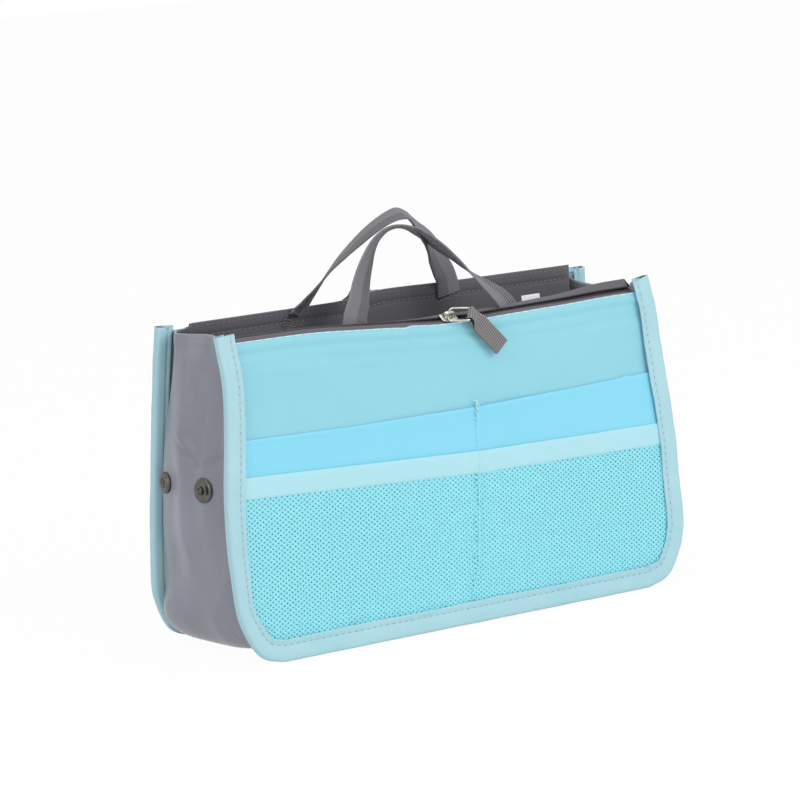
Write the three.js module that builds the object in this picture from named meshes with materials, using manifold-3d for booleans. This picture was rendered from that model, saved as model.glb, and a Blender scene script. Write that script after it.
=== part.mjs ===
// A mesh toiletry bag: two flat pocketed walls joined by a folding gusset strip, with zips and handles.
// Millimetres. X runs along the bag, -Y is its front, Z is up, and the bag stands on Z = 0.
import * as THREE from "three";
import { mergeGeometries, mergeVertices } from "three/addons/utils/BufferGeometryUtils.js";
import Module from "manifold-3d";

const wasm = await Module();
wasm.setup();

const degrees = Math.PI / 180;

// Outline of a wall, flat on the table
const wallHeight = 175;
const wallHalfTop = 141;
const wallHalfBase = 148;
const cornerRadius = 27;
const cornerSteps = 6;

// How the two walls stand
const footDepth = 89;
const wallLean = 4.4 * degrees;

// Cloth thicknesses, and the clearance between two layers that are sewn together
const nylon = 0.5;
const netThickness = 0.5;
const bandThickness = 0.8;
const paddingThickness = 0.6;
const bindingThickness = 0.7;
const layerGap = 0.2;
const edgeGap = 0.3;

// Binding: a tape folded round the sides and the foot of a wall
const bindingWidth = 12.5;
const bindingEdge = 1;
const footTrim = 0.2;
const flangeGap = 0.9;

// Pockets on the outside of a wall
const panelDrop = 9;
const slipPocketTop = 119;
const bandTop = 92;
const bandHeight = 11.5;
const dividerX = 11;
const dividerHalfWidth = 3;
const netPitch = 14;
const netStrand = 1.2;
const netMargin = 2;

// Zipped compartment between the outer panel and the liner
const compartmentDepth = 7.8;
const zipRise = 7;
const linerRoll = 5;
const rollShares = [0, 0.35, 0.65, 1];
const paddingDrop = 6;
const paddingInset = 16;

// Gusset strip
const gussetInset = 11;
const ridgeY = 14;
const ridgeBulge = 17;
const ridgeBulgeTop = 7;
const plateauLow = 70;
const plateauHigh = 114;
const gussetDrop = 1.5;

// Zip
const tapeSeam = 0.7;
const coilWidth = 1.4;
const coilHeight = 1.4;
const coilInner = 0.6;
const tapeThickness = 0.5;
const sliderLength = 10;
const sliderHalfWidth = 3.4;
const sliderPlate = 0.9;
const sliderLip = 1.1;
const sliderPost = 0.6;
const bridgeWidth = 1.8;
const bridgeSpan = 5.4;
const bridgeLeg = 0.9;
const bridgeClear = 2.3;

// Wire ring and webbing tab of a zip pull
const ringWire = 1.2;
const ringInnerWidth = 10.4;
const ringReach = 12;
const ringLift = 20 * degrees;
const tabWidth = 9.6;
const tabLength = 27;
const tabThickness = 1.8;
const tabEyeWall = 0.7;
const tabTurnRun = 8;
const tabTurnSteps = 4;
const tabEyeClear = 0.25;

// Handles
const webbingWidth = 15;
const webbingThickness = 1.2;
const handleEndRun = 26;
const pivotRise = 3;
const handleSteps = 28;
// The right half of the loop, as shares of its half span and its rise: a slanting leg and a tight top
const handleArch = [[1, 0], [1, 0.08], [0.93, 0.2], [0.66, 0.48], [0.45, 0.7], [0.2, 0.94]];
const twistShare = 0.4;
const handleEndTaper = 0.5;
const handleEndRound = 0.5;
const handleEndGap = 0.5;

// Press snaps on the gusset
const snapHeight = 92;
const studY = -12;
const socketY = 22;
const studRadius = 6.75;
const socketRadius = 5.8;
const capRadius = 6;
const capHeight = 1.1;
const rivetRadius = 1.4;
const rivetHole = 2;
const studPost = 2.3;
const studPostHeight = 3.9;
const studPostChamfer = 0.45;
const studRim = 0.7;
const studCrown = 1.4;
const studDish = 1.2;
const socketRim = 1.2;
const socketCrown = 2;
const socketFloor = 0.8;
const socketClear = 0.4;
const snapBevel = 0.9;
const snapSegments = 16;
const snapProbe = 5;

// Blank sewn label inside the front wall
const labelWidth = 12;
const labelGap = 5;
const labelRise = 2.5;
const labelDrop = 14;
const labelThickness = 0.4;

// The rims, zip pulls and handles, which differ from wall to wall.
// The front rim sags a little and the rear one stands up.
const frontRimShift = -3;
const rearRimShift = 5;
const frontSliderX = 7.6;
const rearSliderX = 2.6;
const frontLegHalfSpan = 48.5;
const rearLegHalfSpan = 47.5;
const rearLegCentre = 6.2;
const frontHandleRise = 45;
const rearHandleRise = 46;

// What sets the two walls apart
const walls = [
  {
    name: "front",
    turn: 0,
    rimShift: frontRimShift,
    sliderX: frontSliderX,
    pullSkew: 55 * degrees,
    legCentre: 0,
    legHalfSpan: frontLegHalfSpan,
    handleRise: frontHandleRise,
    handleLean: 24.6 * degrees,
  },
  {
    name: "rear",
    turn: Math.PI,
    rimShift: rearRimShift,
    sliderX: rearSliderX,
    pullSkew: 52 * degrees,
    legCentre: rearLegCentre,
    legHalfSpan: rearLegHalfSpan,
    handleRise: rearHandleRise,
    handleLean: 12.6 * degrees,
  },
];

// Heights that follow from the rim of the wall, the net's from its band
const panelTop = wallHeight - panelDrop;
const linerTop = panelTop + zipRise;
const paddingTop = panelTop - paddingDrop;
const gussetTop = linerTop - gussetDrop;
const pivotHeight = linerTop + pivotRise;
const handleEndLow = pivotHeight - handleEndRun;
const labelTop = linerTop + frontRimShift + labelRise;
const netTop = bandTop - bandHeight;

// The label is sewn in beside the front handle's right leg
const labelLeft = frontLegHalfSpan + webbingWidth / 2 + labelGap;

// Depths through a wall, from the outer panel's face inwards
const slipBack = -layerGap;
const slipFace = slipBack - nylon;
const netBack = slipFace - layerGap;
const netFace = netBack - netThickness;
const bandFace = netBack - bandThickness;
const bindingBack = bandFace - layerGap;
const bindingFace = bindingBack - bindingThickness;
const paddingFace = nylon + layerGap;
const linerEdge = nylon + layerGap;
const linerField = paddingFace + paddingThickness + compartmentDepth;
const linerInner = linerField + nylon;
const flangeFace = linerEdge + nylon + flangeGap;
const flangeBack = flangeFace + nylon;
const innerLegFace = flangeBack + flangeGap;
const innerLegBack = innerLegFace + bindingThickness;
const layerInset = bindingEdge + 2 * edgeGap;
// The binding's inner leg stops short of where the gusset swings out from its seam
const gussetSwing = ridgeBulge / (footDepth / 2 - flangeBack - plateauHigh * Math.tan(wallLean) - ridgeY);
const innerLegWidth = gussetInset - nylon / 2 - edgeGap - (innerLegBack - flangeFace) * gussetSwing;
const handleDepth = linerInner + layerGap + webbingThickness / 2;
const straightHalf = wallHalfBase - cornerRadius;
const rollStart = gussetInset + 1;

// A leaning wall is lowered until its whole foot can be cut level on Z = 0
const wallLift = bindingFace * Math.sin(wallLean) - footTrim;

// The zip spans from the panel's top edge up and inwards to the liner's
const zipLow = new THREE.Vector2(nylon / 2, panelTop);
const zipHigh = new THREE.Vector2(linerField, linerTop);
const zipCentre = zipLow.clone().add(zipHigh).multiplyScalar(0.5);
const zipTilt = zipHigh.clone().sub(zipLow).angle();
const tapeHalf = zipHigh.distanceTo(zipLow) / 2 - tapeSeam;
const zipClear = coilHeight / 2 + 2 * edgeGap;

const cloth = (color) => new THREE.MeshStandardMaterial({ color, roughness: 0.75, metalness: 0 });
const metal = (color) => new THREE.MeshStandardMaterial({ color, roughness: 0.35, metalness: 1 });
const finishes = {
  panel: cloth(0x97dae8),
  slip: cloth(0x8ee0f8),
  net: cloth(0x87dfeb),
  band: cloth(0xb0e8f1),
  binding: cloth(0xb0e0ea),
  padding: cloth(0xf2f2ee),
  liner: cloth(0x46464b),
  gusset: cloth(0x8a8b96),
  webbing: cloth(0x8c8c90),
  tape: cloth(0x6a6a70),
  coil: cloth(0x26262a),
  label: cloth(0xe8e6ee),
  slider: metal(0xc4c3bc),
  snap: metal(0x57564c),
};

function piece(name, geometry, finish) {
  const mesh = new THREE.Mesh(geometry, finishes[finish]);
  mesh.name = name;
  return mesh;
}

function toSolid(geometry) {
  const bare = geometry.clone();
  bare.deleteAttribute("normal");
  bare.deleteAttribute("uv");
  const merged = mergeVertices(bare, 1e-4);
  return new wasm.Manifold(
    new wasm.Mesh({
      numProp: 3,
      vertProperties: merged.attributes.position.array,
      triVerts: new Uint32Array(merged.index.array),
    }),
  );
}

function toGeometry(solid) {
  const made = solid.getMesh();
  return new THREE.BufferGeometry()
    .setAttribute("position", new THREE.BufferAttribute(made.vertProperties, 3))
    .setIndex(new THREE.BufferAttribute(made.triVerts, 1));
}

// A closed thin solid between two facing grids of points, each given as rows of Vector3.
function shellBetween(face, back) {
  const rows = face.length;
  const columns = face[0].length;
  const points = [...face.flat(), ...back.flat()];
  const at = (side, row, column) => side * rows * columns + row * columns + column;
  const index = [];
  const quad = (a, b, c, d) => index.push(a, b, c, a, c, d);
  for (let r = 0; r < rows - 1; r++)
    for (let c = 0; c < columns - 1; c++) {
      quad(at(0, r, c), at(0, r, c + 1), at(0, r + 1, c + 1), at(0, r + 1, c));
      quad(at(1, r, c), at(1, r + 1, c), at(1, r + 1, c + 1), at(1, r, c + 1));
    }
  for (let r = 0; r < rows - 1; r++) {
    const last = columns - 1;
    quad(at(0, r, 0), at(0, r + 1, 0), at(1, r + 1, 0), at(1, r, 0));
    quad(at(0, r, last), at(1, r, last), at(1, r + 1, last), at(0, r + 1, last));
  }
  for (let c = 0; c < columns - 1; c++) {
    const last = rows - 1;
    quad(at(0, 0, c), at(1, 0, c), at(1, 0, c + 1), at(0, 0, c + 1));
    quad(at(0, last, c), at(0, last, c + 1), at(1, last, c + 1), at(1, last, c));
  }
  let volume = 0;
  for (let i = 0; i < index.length; i += 3) {
    const [a, b, c] = index.slice(i, i + 3).map((n) => points[n]);
    volume += a.dot(b.clone().cross(c));
  }
  if (volume < 0) index.reverse();
  return new THREE.BufferGeometry().setFromPoints(points).setIndex(index);
}

// Half a wall's width at a height, inside an inset from its edge.
function halfWidth(z, inset) {
  if (z < cornerRadius) {
    const radius = cornerRadius - inset;
    const drop = cornerRadius - z;
    return straightHalf + Math.sqrt(Math.max(radius * radius - drop * drop, 0));
  }
  const rise = (z - cornerRadius) / (wallHeight - cornerRadius);
  return THREE.MathUtils.lerp(wallHalfBase, wallHalfTop, rise) - inset;
}

// The right side of a wall's outline, from a height down round the corner to the foot.
function sideLine(inset, top) {
  const line = [new THREE.Vector2(halfWidth(top, inset), top)];
  for (let i = 0; i <= cornerSteps; i++) {
    const angle = (i / cornerSteps) * 90 * degrees;
    const radius = cornerRadius - inset;
    line.push(
      new THREE.Vector2(
        straightHalf + radius * Math.cos(angle),
        cornerRadius - radius * Math.sin(angle),
      ),
    );
  }
  return line;
}

const mirrored = (line) => line.map((p) => new THREE.Vector2(-p.x, p.y)).reverse();

// A whole outline that is open to nothing: both sides, the corners and the foot.
function outline(inset, top) {
  const side = sideLine(inset, top);
  return new THREE.Shape([...side, ...mirrored(side)]);
}

// The U that runs down one side, along the foot and up the other, between two insets.
function edgeBand(from, to) {
  const outer = sideLine(from, wallHeight);
  const inner = sideLine(to, wallHeight);
  const back = inner.slice().reverse();
  return new THREE.Shape([...outer, ...mirrored(outer), ...mirrored(back), ...back]);
}

// A flat layer of a wall, standing in the XZ plane between two depths.
function layer(shape, face, back) {
  const options = { depth: back - face, bevelEnabled: false };
  const geometry = new THREE.ExtrudeGeometry(shape, options);
  return geometry.rotateX(90 * degrees).translate(0, back, 0);
}

// A profile drawn in Y and Z, pulled along X about its middle.
function alongX(shape, length) {
  const geometry = new THREE.ExtrudeGeometry(shape, { depth: length, bevelEnabled: false });
  const turn = new THREE.Matrix4().makeBasis(
    new THREE.Vector3(0, 1, 0),
    new THREE.Vector3(0, 0, 1),
    new THREE.Vector3(1, 0, 0),
  );
  return geometry.translate(0, 0, -length / 2).applyMatrix4(turn);
}

function rectangle(y0, y1, z0, z1) {
  const corners = [[y0, z0], [y1, z0], [y1, z1], [y0, z1]];
  return new THREE.Shape(corners.map(([y, z]) => new THREE.Vector2(y, z)));
}

// The net of the lower pocket: rows of square gaps on end, with a plain strip where the divider is sewn.
function netGeometry() {
  const reach = netPitch / 2 - netStrand / Math.SQRT2;
  const low = bindingWidth + netMargin + reach;
  const high = netTop - netMargin - reach;
  const rows = Math.floor((high - low) / (netPitch / 2));
  const start = low + (high - low - (rows * netPitch) / 2) / 2;
  const gaps = [];
  for (let row = 0; row <= rows; row++) {
    const z = start + (row * netPitch) / 2;
    const room = halfWidth(z - reach, bindingWidth + netMargin) - reach;
    const shift = dividerX + (row % 2 ? netPitch / 2 : 0);
    for (let i = Math.ceil((-room - shift) / netPitch); shift + i * netPitch <= room; i++) {
      const x = shift + i * netPitch;
      if (Math.abs(x - dividerX) < reach + dividerHalfWidth) continue;
      const gap = new THREE.CylinderGeometry(reach, reach, 4 * netThickness, 4);
      gaps.push(gap.translate(x, (netFace + netBack) / 2, z));
    }
  }
  const sheet = toSolid(layer(outline(layerInset, netTop), netFace, netBack));
  return toGeometry(sheet.subtract(toSolid(mergeGeometries(gaps))));
}

// The band that binds the net's top edge.
function bandShape() {
  const low = netTop + edgeGap;
  const corners = [[low, 1], [bandTop, 1], [bandTop, -1], [low, -1]];
  return new THREE.Shape(
    corners.map(([z, sign]) => new THREE.Vector2(sign * halfWidth(z, layerInset), z)),
  );
}

// The liner lies against the panel at its edges and rolls inwards to the compartment's full depth.
function linerGeometry(shift) {
  const rolled = rollShares.map((share) => rollStart + share * linerRoll);
  const across = [-1, 1].flatMap((sign) => {
    const side = [layerInset, ...rolled].map((inset) => ({ sign, inset }));
    return sign < 0 ? side : side.reverse();
  });
  const heights = [
    layerInset,
    (layerInset + rollStart) / 2,
    ...rolled,
    cornerRadius,
    ...[1, 2, 3, 4].map((i) => THREE.MathUtils.lerp(cornerRadius, linerTop + shift, i / 4)),
  ];
  const riseAt = (inset) => THREE.MathUtils.smoothstep(inset, rollStart, rollStart + linerRoll);
  const grid = (thickness) =>
    heights.map((height) =>
      across.map(({ sign, inset }) => {
        const reach = Math.min(inset, Math.max(height, layerInset));
        const rise = riseAt(reach);
        const depth = THREE.MathUtils.lerp(linerEdge, linerField, rise);
        const slope = (depth - zipLow.x) * Math.tan(zipTilt) - zipClear / Math.cos(zipTilt);
        const top = shift + (rise === 1 ? linerTop : zipLow.y + slope);
        const z = Math.min(height, top);
        return new THREE.Vector3(sign * halfWidth(z, inset), depth + thickness, z);
      }),
    );
  return shellBetween(grid(0), grid(nylon));
}

// The folded tape, cut level where the bag stands on it.
function bindingGeometry() {
  const parts = [
    layer(edgeBand(0, bindingWidth), bindingFace, bindingBack),
    layer(edgeBand(0, bindingEdge), bindingFace, innerLegBack),
    layer(edgeBand(0, innerLegWidth), innerLegFace, innerLegBack),
  ].map(toSolid);
  const tape = parts[0].add(parts[1]).add(parts[2]);
  const floor = new THREE.BoxGeometry(3 * wallHalfBase, wallHeight, wallHeight);
  floor.translate(0, 0, -wallHeight / 2 - wallLift).rotateX(wallLean);
  return toGeometry(tape.subtract(toSolid(floor)));
}

// A slider: two plates joined by a post, lips round the coils, and a bridge on top.
function sliderGeometry() {
  const inside = coilHeight / 2 + edgeGap;
  const outside = inside + sliderPlate;
  const lip = tapeThickness / 2 + edgeGap;
  const post = sliderPost / 2;
  const quarter = [
    [sliderHalfWidth, outside],
    [sliderHalfWidth, lip],
    [sliderHalfWidth - sliderLip, lip],
    [sliderHalfWidth - sliderLip, inside],
    [post, inside],
  ];
  const below = quarter.map(([y, z]) => [y, -z]).reverse();
  const right = [...quarter, ...below];
  const left = right.map(([y, z]) => [-y, z]).reverse();
  const section = new THREE.Shape([...right, ...left].map(([y, z]) => new THREE.Vector2(y, z)));
  const body = alongX(section, sliderLength);
  const half = bridgeSpan / 2;
  const foot = outside - sliderPlate / 2;
  const crown = outside + bridgeClear;
  const side = [
    [half, crown],
    [half, foot],
    [half + bridgeLeg, foot],
    [half + bridgeLeg, crown],
    [half, crown + bridgeLeg],
  ].map(([x, z]) => new THREE.Vector2(x, z));
  const arch = new THREE.Shape([...side, ...mirrored(side)]);
  return toGeometry(toSolid(body).add(toSolid(layer(arch, -bridgeWidth / 2, bridgeWidth / 2))));
}

// A flat wire ring: its near bar lies on X, and it reaches along -Y.
function ringGeometry() {
  const wire = ringWire / 2;
  const wide = ringInnerWidth / 2;
  const frame = rectangle(-wide - ringWire, wide + ringWire, -ringReach - wire, wire);
  frame.holes.push(
    new THREE.Path([
      new THREE.Vector2(-wide, -wire),
      new THREE.Vector2(wide, -wire),
      new THREE.Vector2(wide, wire - ringReach),
      new THREE.Vector2(-wide, wire - ringReach),
    ]),
  );
  return new THREE.ExtrudeGeometry(frame, { depth: ringWire, bevelEnabled: false }).translate(0, 0, -wire);
}

// A doubled webbing tab: an eye round the ring's far bar, and a tail that turns to lie flat on the panel.
function tabGeometry(turn) {
  const bore = (ringWire / 2) * Math.SQRT2 + tabEyeClear;
  const eyeRadius = bore + tabEyeWall;
  const eye = new THREE.Shape().absarc(0, 0, eyeRadius, 0, 2 * Math.PI, false);
  eye.holes.push(new THREE.Path().absarc(0, 0, bore, 0, 2 * Math.PI, true));
  const loop = new THREE.ExtrudeGeometry(eye, { depth: tabWidth, bevelEnabled: false, curveSegments: 8 });
  loop.translate(0, 0, -tabWidth / 2).rotateY(90 * degrees);
  const reaches = [(bore + eyeRadius) / 2, eyeRadius];
  for (let i = 1; i <= tabTurnSteps; i++)
    reaches.push(THREE.MathUtils.lerp(eyeRadius, tabTurnRun, i / tabTurnSteps));
  reaches.push(tabLength);
  const grid = (sign) =>
    reaches.map((reach) => {
      const angle = turn * THREE.MathUtils.smoothstep(reach, eyeRadius, tabTurnRun);
      const wide = new THREE.Vector3(Math.cos(angle), 0, Math.sin(angle));
      const normal = new THREE.Vector3(-Math.sin(angle), 0, Math.cos(angle));
      return [-0.5, 0.5].map((share) =>
        new THREE.Vector3(0, -reach, 0)
          .addScaledVector(wide, share * tabWidth)
          .addScaledVector(normal, (sign * tabThickness) / 2),
      );
    });
  return toGeometry(toSolid(loop).add(toSolid(shellBetween(grid(1), grid(-1)))));
}

// A webbing loop: flat against the wall at its legs, turned to lie across the hand at its top.
function handleGeometry(halfSpan, rise) {
  const right = handleArch.map(([x, z]) => new THREE.Vector3(x * halfSpan, 0, z * rise));
  const left = right.map((p) => new THREE.Vector3(-p.x, 0, p.z));
  const apex = new THREE.Vector3(0, 0, rise);
  const curve = new THREE.CatmullRomCurve3([...left, apex, ...right.reverse()]);
  const across = new THREE.Vector3(0, 1, 0);
  const rings = [];
  for (let i = 0; i <= handleSteps; i++) {
    const share = i / handleSteps;
    const tangent = curve.getTangentAt(share);
    if (i === 0) tangent.set(0, 0, 1);
    if (i === handleSteps) tangent.set(0, 0, -1);
    const turned = THREE.MathUtils.smoothstep(Math.min(share, 1 - share), 0, twistShare);
    const twist = turned * 90 * degrees;
    const radial = new THREE.Vector3(-tangent.z, 0, tangent.x);
    const wide = radial.multiplyScalar(Math.cos(twist)).addScaledVector(across, Math.sin(twist));
    rings.push({ centre: curve.getPointAt(share), wide, tangent, taper: 1 });
  }
  // The ends are rounded off about the line that the loop swings on.
  const ended = (ring, reach) => ({
    ...ring,
    centre: ring.centre.clone().addScaledVector(ring.tangent, reach),
    taper: handleEndTaper,
  });
  const stretch = [ended(rings[0], -handleEndRound), ...rings, ended(rings[handleSteps], handleEndRound)];
  const grid = (sign) =>
    stretch.map(({ centre, wide, tangent, taper }) => {
      const normal = wide.clone().cross(tangent).multiplyScalar((sign * taper * webbingThickness) / 2);
      return [-0.5, 0.5].map((share) =>
        centre.clone().addScaledVector(wide, share * webbingWidth).add(normal),
      );
    });
  return shellBetween(grid(1), grid(-1));
}

// A wall's own point, given by its depth and height, in the bag's Y and Z; the front wall.
function wallPoint(depth, height) {
  return new THREE.Vector2(
    -footDepth / 2 + depth * Math.cos(wallLean) + height * Math.sin(wallLean),
    height * Math.cos(wallLean) - depth * Math.sin(wallLean) + wallLift,
  );
}

// The zip runs between the places where the liner rolls back to the panel.
const zipHalfLength = halfWidth(linerTop + rearRimShift, rollStart + linerRoll) - edgeGap;

function makeWall(spec) {
  const wall = new THREE.Group();
  wall.position.set(0, -footDepth / 2, wallLift);
  wall.rotation.x = -wallLean;
  const named = (what) => `${spec.name}_${what}`;
  wall.add(
    piece(named("outer_panel"), layer(outline(layerInset, panelTop + spec.rimShift), 0, nylon), "panel"),
    piece(named("slip_pocket"), layer(outline(layerInset, slipPocketTop), slipFace, slipBack), "slip"),
    piece(named("mesh_pocket"), netGeometry(), "net"),
    piece(named("mesh_pocket_band"), layer(bandShape(), bandFace, netBack), "band"),
    piece(
      named("padding_sheet"),
      layer(outline(paddingInset, paddingTop + spec.rimShift), paddingFace, paddingFace + paddingThickness),
      "padding",
    ),
    piece(named("liner"), linerGeometry(spec.rimShift), "liner"),
    piece(named("binding"), bindingGeometry(), "binding"),
  );

  const zip = new THREE.Group();
  zip.position.set(0, zipCentre.x, zipCentre.y + spec.rimShift);
  zip.rotation.x = zipTilt;
  const coilOuter = coilInner + coilWidth;
  for (const [side, sign] of [["outer", -1], ["inner", 1]]) {
    const strip = (from, to, half) => {
      const [low, high] = [sign * from, sign * to].sort((a, b) => a - b);
      return alongX(rectangle(low, high, -half, half), 2 * zipHalfLength);
    };
    zip.add(
      piece(named(`zip_tape_${side}`), strip(coilOuter + layerGap, tapeHalf, tapeThickness / 2), "tape"),
      piece(named(`zip_coil_${side}`), strip(coilInner, coilOuter, coilHeight / 2), "coil"),
    );
  }
  const slider = piece(named("zip_slider"), sliderGeometry(), "slider");
  slider.position.x = spec.sliderX;
  const ring = piece(named("pull_ring"), ringGeometry(), "slider");
  ring.position.set(spec.sliderX, 0, coilHeight / 2 + edgeGap + sliderPlate + bridgeClear / 2);
  ring.rotation.set(-ringLift, 0, spec.pullSkew, "ZYX");
  const drop = Math.atan2(Math.cos(spec.pullSkew) * Math.cos(zipTilt), Math.sin(zipTilt));
  const pose = new THREE.Matrix4()
    .makeRotationX(zipTilt)
    .multiply(new THREE.Matrix4().makeRotationZ(spec.pullSkew))
    .multiply(new THREE.Matrix4().makeRotationX(drop));
  const across = new THREE.Vector3().setFromMatrixColumn(pose, 0);
  const outward = new THREE.Vector3().setFromMatrixColumn(pose, 2);
  const tab = piece(named("pull_tab"), tabGeometry(Math.atan2(across.y, -outward.y)), "webbing");
  tab.position.y = -ringReach;
  tab.rotation.x = drop + ringLift;
  ring.add(tab);
  zip.add(slider, ring);

  const handle = piece(named("handle"), handleGeometry(spec.legHalfSpan, spec.handleRise), "webbing");
  handle.position.set(spec.legCentre, handleDepth, pivotHeight + spec.rimShift);
  handle.rotation.x = -spec.handleLean;
  const endLength = pivotHeight - webbingThickness / 2 - handleEndGap - handleEndLow;
  for (const [side, sign] of [["left", -1], ["right", 1]]) {
    const strip = new THREE.BoxGeometry(webbingWidth, webbingThickness, endLength);
    const end = piece(named(`handle_end_${side}`), strip, "webbing");
    const middle = handleEndLow + endLength / 2 + spec.rimShift;
    end.position.set(spec.legCentre + sign * spec.legHalfSpan, handleDepth, middle);
    wall.add(end);
  }
  wall.add(zip, handle);
  return wall;
}

// How far the gusset's fold stands out at a height.
function bulgeAt(z) {
  if (z > plateauHigh) {
    const share = (z - plateauHigh) / (gussetTop - plateauHigh);
    return THREE.MathUtils.lerp(ridgeBulge, ridgeBulgeTop, share);
  }
  return ridgeBulge * THREE.MathUtils.smoothstep(z, cornerRadius, plateauLow);
}

// One row across the left gusset: seam, fold and seam, at a height or round the foot's corner.
function gussetRow(z, angle) {
  const radius = cornerRadius - gussetInset;
  const turned = angle > 0;
  const out = new THREE.Vector3(-Math.cos(angle), 0, -Math.sin(angle));
  const root = turned
    ? new THREE.Vector3(-straightHalf, 0, cornerRadius).addScaledVector(out, radius)
    : new THREE.Vector3(-halfWidth(z, gussetInset), 0, z);
  const tip = root.clone().addScaledVector(out, gussetInset - layerInset);
  const bulge = turned ? 0 : bulgeAt(z);
  const at = (point, depth, shift) => {
    const place = wallPoint(depth, point.z);
    return new THREE.Vector3(point.x, place.x, place.y).addScaledVector(out, shift);
  };
  const across = (depth, shift) => {
    const seam = [at(tip, depth, 0), at(root, depth, shift)];
    const ridge = at(root, depth, bulge + shift).setY(ridgeY);
    return [...seam, ridge, ...seam.map((point) => point.clone().setY(-point.y)).reverse()];
  };
  return { inner: across(flangeFace, -nylon / 2), outer: across(flangeBack, nylon / 2) };
}

// Rows from the top hem down to the corner, then round it to the foot
const gussetRows = [];
for (const [high, low, steps] of [
  [gussetTop, plateauHigh, 3],
  [plateauHigh, plateauLow, 3],
  [plateauLow, cornerRadius, 6],
])
  for (let i = 0; i < steps; i++) gussetRows.push(gussetRow(THREE.MathUtils.lerp(high, low, i / steps), 0));
for (let i = 1; i <= cornerSteps; i++) gussetRows.push(gussetRow(0, (i / cornerSteps) * 90 * degrees));

// The frame of a snap on the left gusset: its middle on the cloth, and +Z pointing out of the bag.
function snapFrame(y) {
  const point = (height) => {
    const { inner, outer } = gussetRow(height, 0);
    const middle = [1, 2, 3].map((i) => inner[i].clone().lerp(outer[i], 0.5));
    const [from, to] = y < ridgeY ? [middle[0], middle[1]] : [middle[1], middle[2]];
    return { at: from.clone().lerp(to, (y - from.y) / (to.y - from.y)), along: to.clone().sub(from) };
  };
  const here = point(snapHeight);
  const rise = point(snapHeight + snapProbe).at.sub(point(snapHeight - snapProbe).at);
  const normal = here.along.clone().cross(rise).normalize();
  if (normal.x > 0) normal.negate();
  const frame = new THREE.Group();
  frame.position.copy(here.at);
  frame.quaternion.setFromUnitVectors(new THREE.Vector3(0, 0, 1), normal);
  return frame;
}

function lathe(profile) {
  const points = profile.map(([radius, height]) => new THREE.Vector2(radius, height));
  return new THREE.LatheGeometry(points, snapSegments).rotateX(90 * degrees);
}

const seat = nylon / 2 + edgeGap;
const studProfile = [
  [0, seat],
  [studRadius, seat],
  [studRadius, seat + studRim],
  [studRadius - snapBevel, seat + studCrown],
  [studPost + snapBevel, seat + studDish],
  [studPost, seat + studCrown],
  [studPost, seat + studPostHeight - studPostChamfer],
  [studPost - studPostChamfer, seat + studPostHeight],
  [0, seat + studPostHeight],
];
const socketProfile = [
  [0, seat],
  [socketRadius, seat],
  [socketRadius, seat + socketRim],
  [socketRadius - snapBevel, seat + socketCrown],
  [studPost + socketClear, seat + socketCrown],
  [studPost + socketClear, seat + socketFloor],
  [0, seat + socketFloor],
];
const capProfile = [
  [0, -seat - capHeight],
  [capRadius - snapBevel, -seat - capHeight],
  [capRadius, -seat - capHeight / 2],
  [capRadius, -seat],
  [rivetRadius, -seat],
  [rivetRadius, seat - edgeGap],
  [0, seat - edgeGap],
];

function makeGusset(name) {
  const side = new THREE.Group();
  const inner = gussetRows.map((row) => row.inner);
  const outer = gussetRows.map((row) => row.outer);
  let strip = toSolid(shellBetween(inner, outer));
  for (const [what, y, profile] of [["stud", studY, studProfile], ["socket", socketY, socketProfile]]) {
    const frame = snapFrame(y);
    frame.updateMatrix();
    const punch = new THREE.CylinderGeometry(rivetHole, rivetHole, 6 * nylon, snapSegments);
    strip = strip.subtract(toSolid(punch.rotateX(90 * degrees).applyMatrix4(frame.matrix)));
    frame.add(
      piece(`${name}_snap_${what}`, lathe(profile), "snap"),
      piece(`${name}_snap_${what}_cap`, lathe(capProfile), "snap"),
    );
    side.add(frame);
  }
  side.add(piece(`gusset_${name}`, toGeometry(strip), "gusset"));
  return side;
}

// The flat base strip, with its two long edges turned down into the bindings.
function basePanel() {
  const low = layerInset;
  const face = [wallPoint(flangeFace, low), wallPoint(flangeFace, gussetInset + nylon / 2)];
  const back = [wallPoint(flangeBack, gussetInset - nylon / 2), wallPoint(flangeBack, low)];
  const half = [...back, ...face];
  return alongX(new THREE.Shape([...half, ...mirrored(half)]), 2 * straightHalf - 2 * layerGap);
}

const bag = new THREE.Group();
for (const spec of walls) {
  const turned = new THREE.Group();
  turned.rotation.z = spec.turn;
  const wall = makeWall(spec);
  if (spec.name === "front") {
    const ribbon = new THREE.BoxGeometry(labelWidth, labelThickness, labelDrop);
    const label = piece("blank_label", ribbon, "label");
    label.position.set(
      labelLeft + labelWidth / 2,
      linerInner + layerGap + labelThickness / 2,
      labelTop - labelDrop / 2,
    );
    wall.add(label);
  }
  turned.add(wall);
  bag.add(turned);
}
const right = makeGusset("right");
right.scale.x = -1;
bag.add(makeGusset("left"), right, piece("base_panel", basePanel(), "gusset"));

export default bag;
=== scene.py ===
import math

import bpy
import numpy as np
from mathutils import Matrix, Vector


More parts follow.
